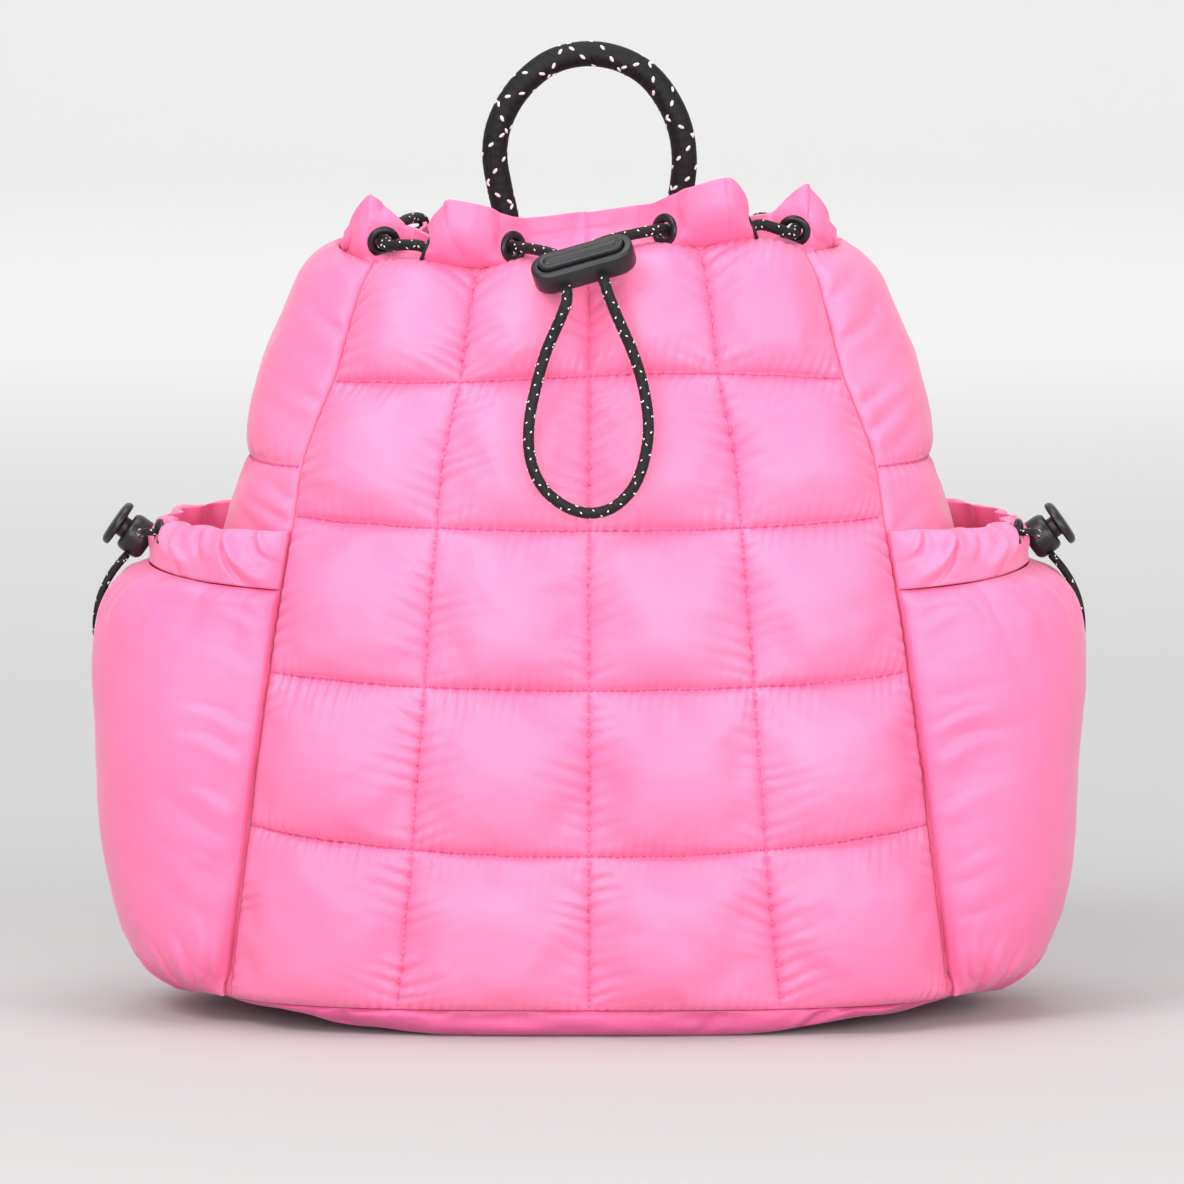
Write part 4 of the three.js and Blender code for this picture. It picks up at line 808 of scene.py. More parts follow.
def pleat_ring():
    """The pleats all the way round: seam, across, deep, top."""
    far = PLEATS[-2:0:-1].copy()
    far[:, 0] = 2 - far[:, 0]
    far[:, 1] *= -1
    return np.concatenate([PLEATS, far])


PLEAT_RING = pleat_ring()


def pleat_at(place, column, crisp=0.0):
    count = len(PLEAT_RING)
    row = np.floor(place).astype(int)
    t = place - row

    def value(index):
        turn, wrapped = np.divmod(index, count)
        return PLEAT_RING[wrapped, column] + (2 * turn if column == 0 else 0)

    a, b, c, d = (value(row + k) for k in (-1, 0, 1, 2))
    return between(a, b, c, d, t) * (1 - crisp) + (b + (c - b) * t) * crisp


def collar_points(place, level, crisp=0.0):
    place, level = np.broadcast_arrays(np.asarray(place, float), np.asarray(level, float))
    low = body_points("around", pleat_at(place, 0) / 2, np.full(place.shape, BODY_TOP))
    middle = section_at(np.array([BODY_TOP]))[2][0]
    inward = low[..., :2] - [0, middle]
    low[..., :2] -= unit(inward) * (COLLAR_WALL + SEAM_GAP)
    high_x = COLLAR_HALF_WIDTH * pleat_at(place, 1, crisp)
    high_y = COLLAR_HALF_DEPTH * pleat_at(place, 2, crisp)
    high_z = BODY_TOP + COLLAR_HEIGHT * pleat_at(place, 3, crisp)
    opening = np.sin(np.clip((level - COLLAR_ROOT) / COLLAR_OPENING, 0, 1) * math.pi / 2)
    root = BODY_TOP + COLLAR_WALL
    below = BODY_TOP - COLLAR_TUCK + (root - BODY_TOP + COLLAR_TUCK) * level / COLLAR_ROOT
    above = root + (high_z - root) * (level - COLLAR_ROOT) / (1 - COLLAR_ROOT)
    z = np.where(level < COLLAR_ROOT, below, above)
    x = low[..., 0] + (high_x - low[..., 0]) * opening
    y = low[..., 1] + (high_y - low[..., 1]) * opening
    return slouch(np.stack([x, y, z], -1))


def eyelet_frames():
    folds = 2 * HALF_FOLDS
    places = EYELETS + [(folds - fold, level) for fold, level in reversed(EYELETS)]
    found = []
    for fold, level in places:
        reach = 0.004
        p = lambda du, dv: collar_points(np.array(fold - du * folds), np.array(level + dv))
        across = p(reach, 0) - p(-reach, 0)
        up = p(0, reach) - p(0, -reach)
        found.append((p(0, 0), unit(np.cross(across, up))))
    return found


EYELET_FRAMES = eyelet_frames()


def beside_hole(side, end, away):
    mouth = Vector((LOCK_HOLE_SHIFT + end * LOCK_HOLE_SPACING / 2, -LOCK_WELL / 2,
                    side * (LOCK_WIDTH / 2 + away)))
    return np.array(LOCK @ mouth)


def make_drawcords():
    inside = -1.0
    points = [beside_hole(-1, -1, inside), beside_hole(-1, -1, CORD_DIAMETER)]
    through = CORD_DIAMETER * 0.9
    for i, (centre, out) in enumerate(EYELET_FRAMES):
        inward = 1 if i % 2 == 0 else -1
        points.append(centre + out * inward * through)
        points.append(centre - out * inward * through)
    points += [beside_hole(-1, 1, CORD_DIAMETER), beside_hole(-1, 1, inside)]
    ring, _ = curve_points(points, 0.8)
    braided_cord("drawcord_round", ring, CORD_DIAMETER, CORD_SPEC, replaces=("drawcord_ring",))
    path, length = curve_points(np.array(LOOP_ROUTE) * 1000, 0.7)
    hanging_loop("drawcord_hanging", path, CORD_DIAMETER, CORD_SPEC, "drawcord_loop")


def make_rope():
    path, _ = curve_points(np.array(HANDLE_ROUTE) * 1000, 0.55)
    braided_cord("handle_rope", path, ROPE_DIAMETER, ROPE_SPEC, replaces=("rope_handle",), around=80)


make_drawcords()
make_rope()


# Quilted body
STITCH_GAP = 0.8
STITCH_WIDTH = 0.75
STITCH_LIFT = 0.75


def stitch_run(points, normals, pitch=2.7):
    """A row of raised thread stitches along a line on the cloth."""
    along = lengths_along(points)
    vertices, faces = [], []
    section = [(-0.5, 0.0), (-0.32, 0.32), (0.32, 0.32), (0.5, 0.0)]
    at = pitch / 2
    while at + pitch < along[-1]:
        ends = []
        long = pitch - STITCH_GAP
        for place, lift in ((at, -0.1), (at + long / 2, 0.22), (at + long, -0.1)):
            spot = np.array([np.interp(place, along, points[:, k]) for k in range(3)])
            out = unit(np.array([np.interp(place, along, normals[:, k]) for k in range(3)]))
            ends.append((spot + out * lift, out))
        way = unit(ends[2][0] - ends[0][0])
        base = len(vertices)
        for spot, out in ends:
            cross = np.cross(out, way)
            for across, high in section:
                vertices.append(spot + (cross * across + out * high) * STITCH_WIDTH)
        for ring in range(2):
            for k in range(4):
                m = (k + 1) % 4
                lo, hi = base + 4 * ring, base + 4 * (ring + 1)
                faces.append([lo + m, lo + k, hi + k, hi + m])
        faces.append([base, base + 1, base + 2, base + 3])
        faces.append([base + 11, base + 10, base + 9, base + 8])
        at += pitch
    return vertices, faces


def join_runs(name, runs, material):
    points, faces = [], []
    for vertices, polygons in runs:
        base = len(points)
        points += vertices
        faces += [[base + i for i in face] for face in polygons]
    make_object(name, points, faces, material)


def quilted(panel, rows, columns, fine, puff, fullness, seed, pucker, side_pucker, lift=0.0):
    """The outer surface of a quilted panel and what is needed for its stitches."""
    per_u, per_v = fine
    cells = len(rows) - 1
    nu, nv = columns * per_u + 1, cells * per_v + 1
    u, v = shares(nu - 1, nv - 1)
    wall_height = BODY_TOP - BASE_SEAM
    lines = np.array([[h + r * (2 * x - 1) ** 2 for x in u[0]] for h, r in rows])
    cell = np.minimum((v * cells).astype(int), cells - 1)
    fv = v * cells - cell
    heights = BASE_SEAM + wall_height * (lines[cell[:, 0]] * (1 - fv) + lines[cell[:, 0] + 1] * fv)
    base = body_points(panel, np.broadcast_to(u, (nv, nu)), heights)
    normal = grid_normals(base)
    steps = np.linalg.norm(np.diff(base, axis=1), axis=2)
    arc = np.concatenate([np.zeros((nv, 1)), np.cumsum(steps, 1)], 1)
    column = np.minimum((u * columns).astype(int), columns - 1)
    fu = u * columns - column
    at_edge = np.minimum(u, 1 - u) * arc[:, -1:]
    wide = arc[:, -1:] / columns
    high = wall_height / cells
    du = np.minimum(fu, 1 - fu) * wide
    dv = np.minimum(fv, 1 - fv) * high
    sag = fv ** 0.78
    # The fill: rounder near the stitch lines, with a slow unevenness from cell to cell.
    uneven = 1 + 0.16 * noise(column + 0.5 + 0 * fv, cell + 0.5 + 0 * fu, seed)
    swell = puff * uneven * crown(fu, fullness) * crown(sag, fullness)
    swell *= 0.74 + 0.26 * smooth(at_edge, 0, 20)
    border = (np.round(u * columns) % columns == 0) | (np.round(v * cells) % cells == 0)
    edge = np.minimum(at_edge, np.minimum(v, 1 - v) * wall_height)
    valley = np.maximum(1.4 * np.exp(-du / 1.3), 1.9 * np.exp(-dv / 1.3))
    valley = np.where(border, np.minimum(valley, 2.0 - 0.8 * np.exp(-edge / 4)), valley)
    # Puckers that run off the upright stitch lines, on either side of each.
    near = np.round(u * columns).astype(int)
    side = np.sign(u * columns - near)
    key = near * 2.0 + (side > 0)
    length = side_pucker["length"] * (0.75 + 0.5 * noise(heights / 9, key * 7.3, seed + 3) ** 2)
    strength = np.clip(0.6 + 0.85 * noise(heights / 13, key * 5.1, seed + 5), 0.08, 1.4)
    slope = side_pucker["slope"] * (1 + 0.5 * noise(heights / 22, key * 3.7, seed + 7))
    jitter = 0.9 * noise(heights / 11, key * 2.3, seed + 9)
    phase = TURN * (heights - slope * du) / side_pucker["spacing"] + 2.4 * jitter
    fade = np.exp(-((du / length) ** 1.25)) * smooth(dv, 0, 7) * (0.15 + 0.85 * smooth(at_edge, 0, 4))
    upright = side_pucker["depth"] * strength * fade * ridge(phase)
    # Close puckers off the level stitch lines.
    far = np.round(v * cells).astype(int)
    above = np.sign(v * cells - far)
    key_v = far * 2.0 + (above > 0)
    reach = pucker["length"] * (1 + 0.5 * noise(arc / 7, key_v * 4.1, seed + 11))
    power = np.clip(0.62 + 0.6 * noise(arc / 19, key_v * 6.7, seed + 13), 0.1, 1.3)
    phase = TURN * arc / pucker["spacing"] + 1.6 * noise(arc / 6, key_v * 1.9, seed + 15)
    fade = np.exp(-((dv / reach) ** 1.3)) * smooth(du, 0, 4)
    level = pucker["depth"] * power * fade * ridge(phase)
    # Slack folds over the cells, stretched away from the stitch lines.
    inside = crown(fu, 2.2) * crown(fv, 2.2)
    warp_x = arc / 26 + 0.5 * noise(arc / 31, heights / 23, seed + 21)
    slack = 0.7 * rough(warp_x + 0.35 * heights / 20, heights / 13, seed + 23, 2) * inside ** 0.5
    slack += 0.35 * crumple(warp_x * 0.8 + heights / 47, heights / 34, seed + 25) * inside ** 0.5
    height = SEAM_WALL + swell - valley + upright + level + slack
    outer = base + normal * height[..., None]
    # The top edge rolls over to meet the collar, higher between the upright seams.
    top = smooth(v, 1 - 0.42 / cells, 1)
    outer -= normal * (top ** 3 * 2.0)[..., None]
    outer[..., 2] += lift * crown(fu, 2.0) * smooth(v, 1 - 0.8 / cells, 1)
    outer[..., 2] = np.clip(outer[..., 2], BASE_SEAM, None)
    return {"outer": outer, "base": base, "per_u": per_u, "per_v": per_v}


def finish_panel(name, shape, stands_for, blow):
    outer = slouch(blown_up(shape["outer"], shape["per_v"], shape["per_u"], blow))
    inner = slouch(shape["base"])[::STRIDE, ::STRIDE]
    outer[..., 2] = np.maximum(outer[..., 2], BASE_SEAM)
    points, faces = lined(outer, inner)
    soft_piece(name, points, faces, NYLON, stands_for)
    return outer


def panel_stitches(name, outer, shape, levels, uprights):
    normals = grid_normals(outer)
    raised = outer + normals * STITCH_LIFT
    rows = [row * shape["per_v"] for row in levels]
    join_runs(name, [stitch_run(raised[j], normals[j]) for j in rows], THREAD)
    lines = [column * shape["per_u"] for column in uprights]
    runs = [stitch_run(raised[:, i], normals[:, i]) for i in lines]
    if runs:
        # The upright seams' stitches take the paler copy of the thread, painted light.
        join_runs(name + "_upright", runs, THREAD_PAINTED_LIGHT)


def make_body():
    level = dict(length=6.0, spacing=4.1, depth=0.9)
    upright = dict(length=10.5, spacing=6.1, depth=1.35, slope=0.38)
    front = quilted("front", FRONT_ROWS, 4, (76, 60), 9, 2.3, 3, level, upright, lift=4.5)
    outer = finish_panel("front_quilting", front, "front_panel", FRONT_BLOW)
    panel_stitches("front_stitches", outer, front, (1, 2, 3, 4), (1, 2, 3))
    wide = dict(length=24.0, spacing=12.0, depth=1.6, slope=0.4)
    for side, seed in (("left", 31), ("right", 47)):
        shape = quilted(side, SIDE_ROWS, 1, (96, 44), 3.5, 2.6, seed, level, wide, lift=3.0)
        outer = finish_panel("side_quilting_" + side, shape, "side_panel_" + side, SIDE_BLOW)
        panel_stitches("side_stitches_" + side, outer, shape, (1, 2, 3), ())
    faint = dict(length=9.0, spacing=8.0, depth=0.4, slope=0.2)
    back = quilted("back", BACK_ROWS, 1, (128, 128), 4, 6, 61, level, faint, lift=1.0)
    finish_panel("back_padding", back, "back_panel", BACK_BLOW)


make_body()


# Base
# The base's outer side from its underside up: tuck, level, growth.
BASE_PROFILE = [
    (1.0, 0.0, 2.0), (0.8, 0.01, 2.0), (0.62, 0.04, 2.2), (0.48, 0.11, 2.4), (0.38, 0.2, 2.7),
    (0.28, 0.32, 3.0), (0.2, 0.44, 3.2), (0.12, 0.57, 3.3), (0.06, 0.7, 3.2), (0.02, 0.82, 3.0),
    (0.0, 0.91, 2.8), (0.0, 0.97, 2.7), (0.0, 1.0, 2.6),
]
# Pinched creases of the base's front: across, width, depth.
BASE_PINCHES = [(4.0, 3.0, 2.6), (90.0, 3.5, 2.4), (-52.0, 4.0, 1.2), (48.0, 3.0, 1.1),
                (-98.0, 4.0, 1.6), (122.0, 4.0, 1.4), (-128.0, 3.5, 1.4)]


def make_base():
    count = 480
    width, depth, middle, _, _ = section_at(np.array([BASE_SEAM]))
    angle = np.linspace(0, TURN, count, endpoint=False)
    rim = BASE_SEAM - SEAM_GAP / 2
    flat = np.stack([width * bend(np.sin(angle)), -depth * bend(np.cos(angle))], 1)
    arc = np.concatenate([[0], np.cumsum(np.hypot(*np.diff(flat, axis=0).T))])
    rings = []
    across = flat[:, 0]
    front = flat[:, 1] < 0
    for tuck, level, growth in BASE_PROFILE:
        inside = smooth(level, 0.02, 0.35) * (1 - smooth(level, 0.8, 1))
        fold = 1.5 * noise(arc / 26, level * 1.1, 71) + 0.9 * crumple(arc / 17, level * 1.4, 73)
        for centre, width_mm, depth_mm in BASE_PINCHES:
            away = (across - centre - 5 * (level - 0.5)) / width_mm
            fold = fold - depth_mm * np.exp(-(away**2)) * front
            fold = fold + 0.5 * depth_mm * np.exp(-(((np.abs(away) - 1.9) / 0.9) ** 2)) * front
        grow = (growth + fold * inside) * (1 - 0.7 * smooth(np.abs(across), 112, 132))
        x = (width + grow - 26 * tuck) * bend(np.sin(angle))
        y = middle - (depth + grow - 8 * tuck) * bend(np.cos(angle))
        rings.append(np.stack([x, y, np.full(count, rim * level)], 1))
    x, y = width * bend(np.sin(angle)), middle - depth * bend(np.cos(angle))
    rings.append(np.stack([x, y, np.full(count, rim)], 1))
    for tuck, level in ((0.45, 0.14), (1.0, 0.0)):
        x = (width - 26 * tuck) * bend(np.sin(angle))
        y = middle - (depth - 8 * tuck) * bend(np.cos(angle))
        rings.append(np.stack([x, y, np.full(count, rim * level + 4)], 1))
    grid = np.array(rings)
    # The underside rises towards the bag's corners.
    rise = 0.55 * smooth(np.abs(across), 60, 138) * front
    grid[..., 2] += rise * (rim - grid[..., 2]) * (1 + 0.25 * noise(arc / 19, 0, 75))
    points, faces = capped(grid, grid[0].mean(0), grid[-1].mean(0))
    # The base takes the darker copy of the nylon, which paints shade on it.
    soft_piece("base_cloth", points, faces, NYLON_BASE_PAINTED_SHADE, "base_panel")


make_base()


# Collar and eyelets
def from_axis(points, centre, axis):
    """How far points lie along an axis, and how far from it."""
    away = points - centre
    height = away @ axis
    return height, np.linalg.norm(away - height[..., None] * axis, axis=-1)


def make_collar():
    across, up = 640, 44
    place = (2 * HALF_FOLDS * (1 - np.arange(across) / across))[None, :]
    level = np.linspace(0, 1, up + 1)[:, None]
    middle = collar_points(np.broadcast_to(place, (up + 1, across)), level, crisp=0.6)
    normal = grid_normals(middle, ring=True)
    # Small gathers that rise from the seam, and slack creases above them.
    run = place * 14.0
    gather = ridge(TURN * run / 8.5 + 2.2 * noise(run / 13, level * 1.5, 81))
    gather = gather * np.clip(0.5 + 0.7 * noise(run / 29, 0, 83), 0, 1.2)
    gather *= 0.4 * smooth(level, 0.25, 0.35) * (1 - smooth(level, 0.35, 0.85))
    crease = 0.9 * rough(run / 15, level * 1.3, 85, 2) + 0.8 * crumple(run / 21, level * 0.9, 86)
    crease += 0.9 * ridge(TURN * run / 17 + 2.6 * noise(run / 23, level * 0.8, 88))
    crease = crease * smooth(level, 0.22, 0.55)
    edge = 0.9 * noise(run / 11, 0, 87) * smooth(level, 0.8, 1.0)
    middle = middle + normal * (gather + crease)[..., None]
    middle[..., 2] += edge
    keep = np.ones((up, across), bool)
    for centre, out in EYELET_FRAMES:
        height, radius = from_axis(middle, centre, out)
        flat = (1 - smooth(radius, 7.6, 13)) * (1 - smooth(np.abs(height), 2.5, 8))
        middle = middle - (height * flat)[..., None] * out
        spot = (middle[:-1] + middle[1:]) / 2
        spot = (spot + np.roll(spot, -1, 1)) / 2
        height, radius = from_axis(spot, centre, out)
        keep &= ~((radius < 4.2) & (np.abs(height) < 2.5))
    normal = grid_normals(middle, ring=True)
    thin = COLLAR_WALL / 2
    points, faces = wall(middle + normal * thin, middle - normal * thin, ring=True, keep=keep)
    soft_piece("collar_cloth", points, faces, NYLON_SMOOTH, "collar")


def turned(name, profile, centre, axis, material, closed, stands_for, body="bag"):
    """A turned piece. `closed` joins its profile's last point to its first, and otherwise the
    profile starts and ends on the axis."""
    turn = np.array(Vector((0, 0, 1)).rotation_difference(Vector(axis)).to_matrix())
    profile = np.array(profile, float)
    angle = np.linspace(0, TURN, 48, endpoint=False)
    radius = profile[:, None, 0]
    high = np.broadcast_to(profile[:, None, 1], (len(profile), len(angle)))
    grid = np.stack([radius * np.cos(angle), radius * np.sin(angle), high], -1)
    if closed:
        index = np.arange(grid.shape[0] * grid.shape[1]).reshape(grid.shape[:2])
        points, faces = grid.reshape(-1, 3), quads(np.vstack([index, index[:1]]), True).tolist()
    else:
        points, faces = capped(grid[1:-1], grid[0, 0], grid[-1, 0])
    points = points @ turn.T + np.array(centre)
    make_object(name, points, faces, material, body, (stands_for,))


def rounded(profile, radius=0.3, steps=2):
    """Rounds the inner corners of a profile of points."""
    profile = [np.array(point, float) for point in profile]
    out = [tuple(profile[0])]
    for before, point, after in zip(profile, profile[1:], profile[2:]):
        a, b = before - point, after - point
        reach = min(radius, np.linalg.norm(a) * 0.45, np.linalg.norm(b) * 0.45)
        a, b = a / np.linalg.norm(a) * reach, b / np.linalg.norm(b) * reach
        for t in np.linspace(0, 1, steps + 1):
            out.append(tuple(point + a * (1 - t) ** 2 + b * t**2))
    return out + [tuple(profile[-1])]


def make_eyelets():
    reach = COLLAR_WALL / 2 + 0.3
    profile = [
        (EYELET_HOLE, -reach), (4.3, -reach), (4.3, reach - 0.25), (EYELET_RADIUS, reach - 0.25),
        (EYELET_RADIUS, reach + 0.2), (6.15, reach + 0.65), (5.5, reach + 0.95),
        (4.7, reach + 1.0), (4.0, reach + 0.85), (3.5, reach + 0.4), (EYELET_HOLE, reach - 0.2),
    ]
    for i, (centre, out) in enumerate(EYELET_FRAMES):
        number = "eyelet_%d" % (i + 1)
        turned("collar_" + number, profile, centre, out, ENAMEL, True, number)


make_collar()
make_eyelets()


# Front cord lock
def stadium_rings(length, width, levels, sides=20):
    """Rings of a block with round ends. Each level is (y, inset)."""
    rings = []
    for y, inset in levels:
        ring = []
        straight = (length - width) / 2
        radius = width / 2 - inset
        for centre, start in ((straight, -math.pi / 2), (-straight, math.pi / 2)):
            for k in range(sides + 1):
                t = start + math.pi * k / sides
                ring.append((centre + radius * math.cos(t), y, radius * math.sin(t)))
        rings.append(ring)
    return np.array(rings)


def loft(rings):
    points, faces = capped(rings, rings[0].mean(0), rings[-1].mean(0))
    return points, flipped(faces)


def placed(points, matrix):
    m = np.array(matrix)
    return np.asarray(points) @ m[:3, :3].T + m[:3, 3]


def make_cord_lock():
    top = LOCK_DEPTH / 2
    levels = [(-top, 1.6), (-top + 0.25, 0.8), (-top + 0.8, 0.25), (-top + 1.6, 0.0),
              (top - 1.2, 0.0), (top - 0.5, 0.25), (top - 0.12, 0.7), (top, 1.4), (top, 2.75),
              (top - 0.3, 3.0), (top - LOCK_WELL, 3.0)]
    points, faces = loft(stadium_rings(LOCK_LENGTH, LOCK_WIDTH, levels))
    body = make_object("lock_housing", placed(points, LOCK), faces, PLASTIC,
                       replaces=("cord_lock_body",))
    # The four cord holes are cut with plain cylinders.
    holes = []
    for side in (-1, 1):
        for end in (-1, 1):
            mouth = (LOCK_HOLE_SHIFT + end * LOCK_HOLE_SPACING / 2, -LOCK_WELL / 2,
                     side * LOCK_WIDTH / 2)
            angle = np.linspace(0, TURN, 28, endpoint=False)
            radius = CORD_DIAMETER / 2 + 0.35
            rings = np.array([
                [(mouth[0] + radius * math.cos(t), mouth[1] + radius * math.sin(t), mouth[2] + z)
                 for t in angle] for z in (-2.0, 2.0)
            ])
            holes.append(loft(rings))
    cutter_points, cutter_faces = [], []
    for points, faces in holes:
        base = len(cutter_points)
        cutter_points += placed(points, LOCK).tolist()
        cutter_faces += [[base + i for i in face] for face in faces]
    mesh = bpy.data.meshes.new("cutter")
    mesh.from_pydata(((np.array(cutter_points) + SHIFT) / 1000).tolist(), [], cutter_faces)
    cutter = bpy.data.objects.new("cutter", mesh)
    bpy.context.scene.collection.objects.link(cutter)
    modifier = body.modifiers.new("holes", "BOOLEAN")
    modifier.operation = "DIFFERENCE"
    modifier.solver = "EXACT"
    modifier.object = cutter
    cut = bpy.data.meshes.new_from_object(
        body.evaluated_get(bpy.context.evaluated_depsgraph_get())
    )
    body.modifiers.clear()
    body.data = cut
    bpy.data.objects.remove(cutter)
    for polygon in cut.polygons:
        polygon.use_smooth = True
    cut.set_sharp_from_angle(angle=math.radians(35))
    wide, long = LOCK_WIDTH - 6.8, LOCK_LENGTH - 6.8
    levels = [(top - 3, 0.4), (top - 2.9, 0.0), (top + 1.3, 0.0), (top + 1.75, 0.2),
              (top + 2.0, 0.55), (top + 2.05, 1.1), (top + 1.85, 1.7), (top + 1.85, 2.1),
              (top + 2.3, 2.5), (top + 2.55, 3.1), (top + 2.6, 3.8)]
    points, faces = loft(stadium_rings(long, wide, levels))
    make_object("lock_button", placed(points, LOCK), faces, PLASTIC, "front_button",
                ("cord_lock_button",))


make_cord_lock()


# Pockets
# Folds of the pocket's cloth: from (along, height) to (along, height), width and depth.
POCKET_FOLDS = [
    (2, 117, 26, 127, 2.6, 0.9), (2, 105, 30, 116, 3.0, 0.8), (3, 158, 20, 166, 2.4, 0.8),
    (2, 140, 22, 150, 2.8, 0.5), (2, 84, 24, 95, 3.0, 0.5), (4, 60, 26, 70, 3.4, 0.5),
    (30, 178, 46, 150, 3.4, 0.8), (58, 178, 66, 152, 4.0, 0.7), (14, 172, 22, 158, 2.4, 0.7),
    (44, 176, 52, 160, 2.8, 0.7), (78, 178, 80, 150, 4.0, 0.8), (106, 178, 102, 154, 4.0, 0.8),
    (134, 176, 126, 156, 3.6, 0.7), (160, 172, 148, 156, 3.4, 0.7),
    (22, 14, 30, 40, 3.0, 1.1), (40, 12, 44, 34, 3.4, 1.1), (62, 10, 60, 30, 3.6, 1.2),
    (84, 8, 82, 28, 3.6, 1.2), (108, 8, 110, 28, 3.6, 1.1), (134, 10, 130, 32, 3.4, 1.0),
    (12, 18, 16, 48, 2.6, 0.9),
]
# Folds of the casing, all in shares of its length and height but the last two.
RIM_FOLDS = [
    (0.13, 1.0, 0.012, 0.04, 2.2, 2.6), (0.055, 1.0, 0.004, 0.5, 1.6, 1.5),
    (0.2, 1.0, 0.15, 0.35, 2.6, 1.2), (0.29, 0.95, 0.2, 0.02, 2.6, 2.2),
    (0.345, 1.0, 0.3, 0.1, 2.2, 2.0), (0.45, 1.0, 0.42, 0.0, 2.6, 2.2),
    (0.53, 1.0, 0.52, 0.05, 2.6, 2.0), (0.64, 1.0, 0.66, 0.0, 2.6, 2.0),
    (0.72, 1.0, 0.76, 0.05, 2.4, 1.8), (0.82, 1.0, 0.88, 0.0, 2.4, 1.8),
    (0.91, 1.0, 0.99, 0.1, 2.2, 2.0),
]


def creases(x, y, folds):
    """The height of narrow folds laid from point to point, each with a sharp valley beside it."""
    total = 0.0
    for x0, y0, x1, y1, width, depth in folds:
        length = math.hypot(x1 - x0, y1 - y0)
        along_x, along_y = (x1 - x0) / length, (y1 - y0) / length
        t = ((x - x0) * along_x + (y - y0) * along_y) / length
        bow = 0.12 * length * np.sin(math.pi * np.clip(t, 0, 1))
        away = (x - x0) * along_y - (y - y0) * along_x + bow
        ends = smooth(t, -0.02, 0.12) * (1 - smooth(t, 0.45, 1.1))
        shape = np.exp(-((away / width) ** 2))
        shape = shape - 0.75 * np.exp(-(((away + 1.35 * width) / (0.55 * width)) ** 2))
        total = total + depth * ends * shape
    return total


def casing_height(u):
    return CASING_HEIGHT * (1 - 0.25 * np.sin(math.pi * u))


def pocket_bottom(u):
    return BASE_SEAM + SEAM_GAP / 2 - POCKET_SAG * np.sin(math.pi * u) ** 2


def sewn_to(a, share, distance):
    """The right side panel's sewn surface at shares a and share, moved outwards."""
    a, share = np.broadcast_arrays(a, share)
    surface = lambda p, q: body_points("right", p, BASE_SEAM + (BODY_TOP - BASE_SEAM) * q)
    reach = 0.004
    across = surface(np.minimum(a + reach, 1), share) - surface(np.maximum(a - reach, 0), share)
    up = surface(a, np.minimum(share + reach, 1)) - surface(a, np.maximum(share - reach, 0))
    return surface(a, share) + unit(np.cross(across, up)) * distance


def pocket_points(u, z):
    u, z = np.broadcast_arrays(np.asarray(u, float), np.asarray(z, float))
    distance = SEAM_WALL + SEAM_GAP + POCKET_WALL
    share = np.clip((z - BASE_SEAM) / (BODY_TOP - BASE_SEAM), 0, 1)
    front = sewn_to(np.zeros_like(share), share, distance)
    rear = sewn_to(np.ones_like(share), share, distance)
    flat = sewn_to(u, share, distance)
    reach = POCKET_HALF_SPAN * read_table(POCKET_PROFILE[:, 0], POCKET_PROFILE[:, 1],
                                          z / POCKET_RIM_TOP)
    swing = np.sin(math.pi * u)
    x = front[..., 0] * (1 - u) + rear[..., 0] * u
    x = x + (reach - (front[..., 0] + rear[..., 0]) / 2) * swing**0.9
    turn = (1 - np.cos(math.pi * u)) / 2
    y = front[..., 1] * (1 - turn) + rear[..., 1] * turn
    floor = 1 - np.clip((z - pocket_bottom(u)) / POCKET_FLOOR, 0, 1)
    swell = np.sqrt(1 - floor * floor)
    x = flat[..., 0] + (x - flat[..., 0]) * swell
    y = flat[..., 1] + (y - flat[..., 1]) * swell
    return np.stack([x, y, z], -1)


def rim_points(u, v, gathers=True):
    bottom = POCKET_RIM_TOP - casing_height(u) + SEAM_GAP / 2
    point = pocket_points(u, bottom + (POCKET_RIM_TOP - bottom) * v)
    if not gathers:
        return point
    swing = np.sin(math.pi * u)
    wave = RIM_GATHER_DEPTH * swing**0.5 * np.sin(v * math.pi / 2)
    wave = wave * np.cos(TURN * RIM_GATHERS * u)
    way = np.stack([swing, -np.cos(math.pi * u), 0 * swing], -1)
    return point + way * wave[..., None]


def sided(points, side):
    points = np.array(points, float)
    return points * [-1, 1, 1] if side == "left" else points


# How far the pocket's cloth and its casing run along the bag, and how high the casing stands.
POCKET_RUN = 190.0
RIM_RUN = 170.0
RIM_RISE = 20.0
# How far the pocket's front edge is drawn towards the front panel.
SEAM_PULL = np.array([-1.95, -0.9, 0.0])


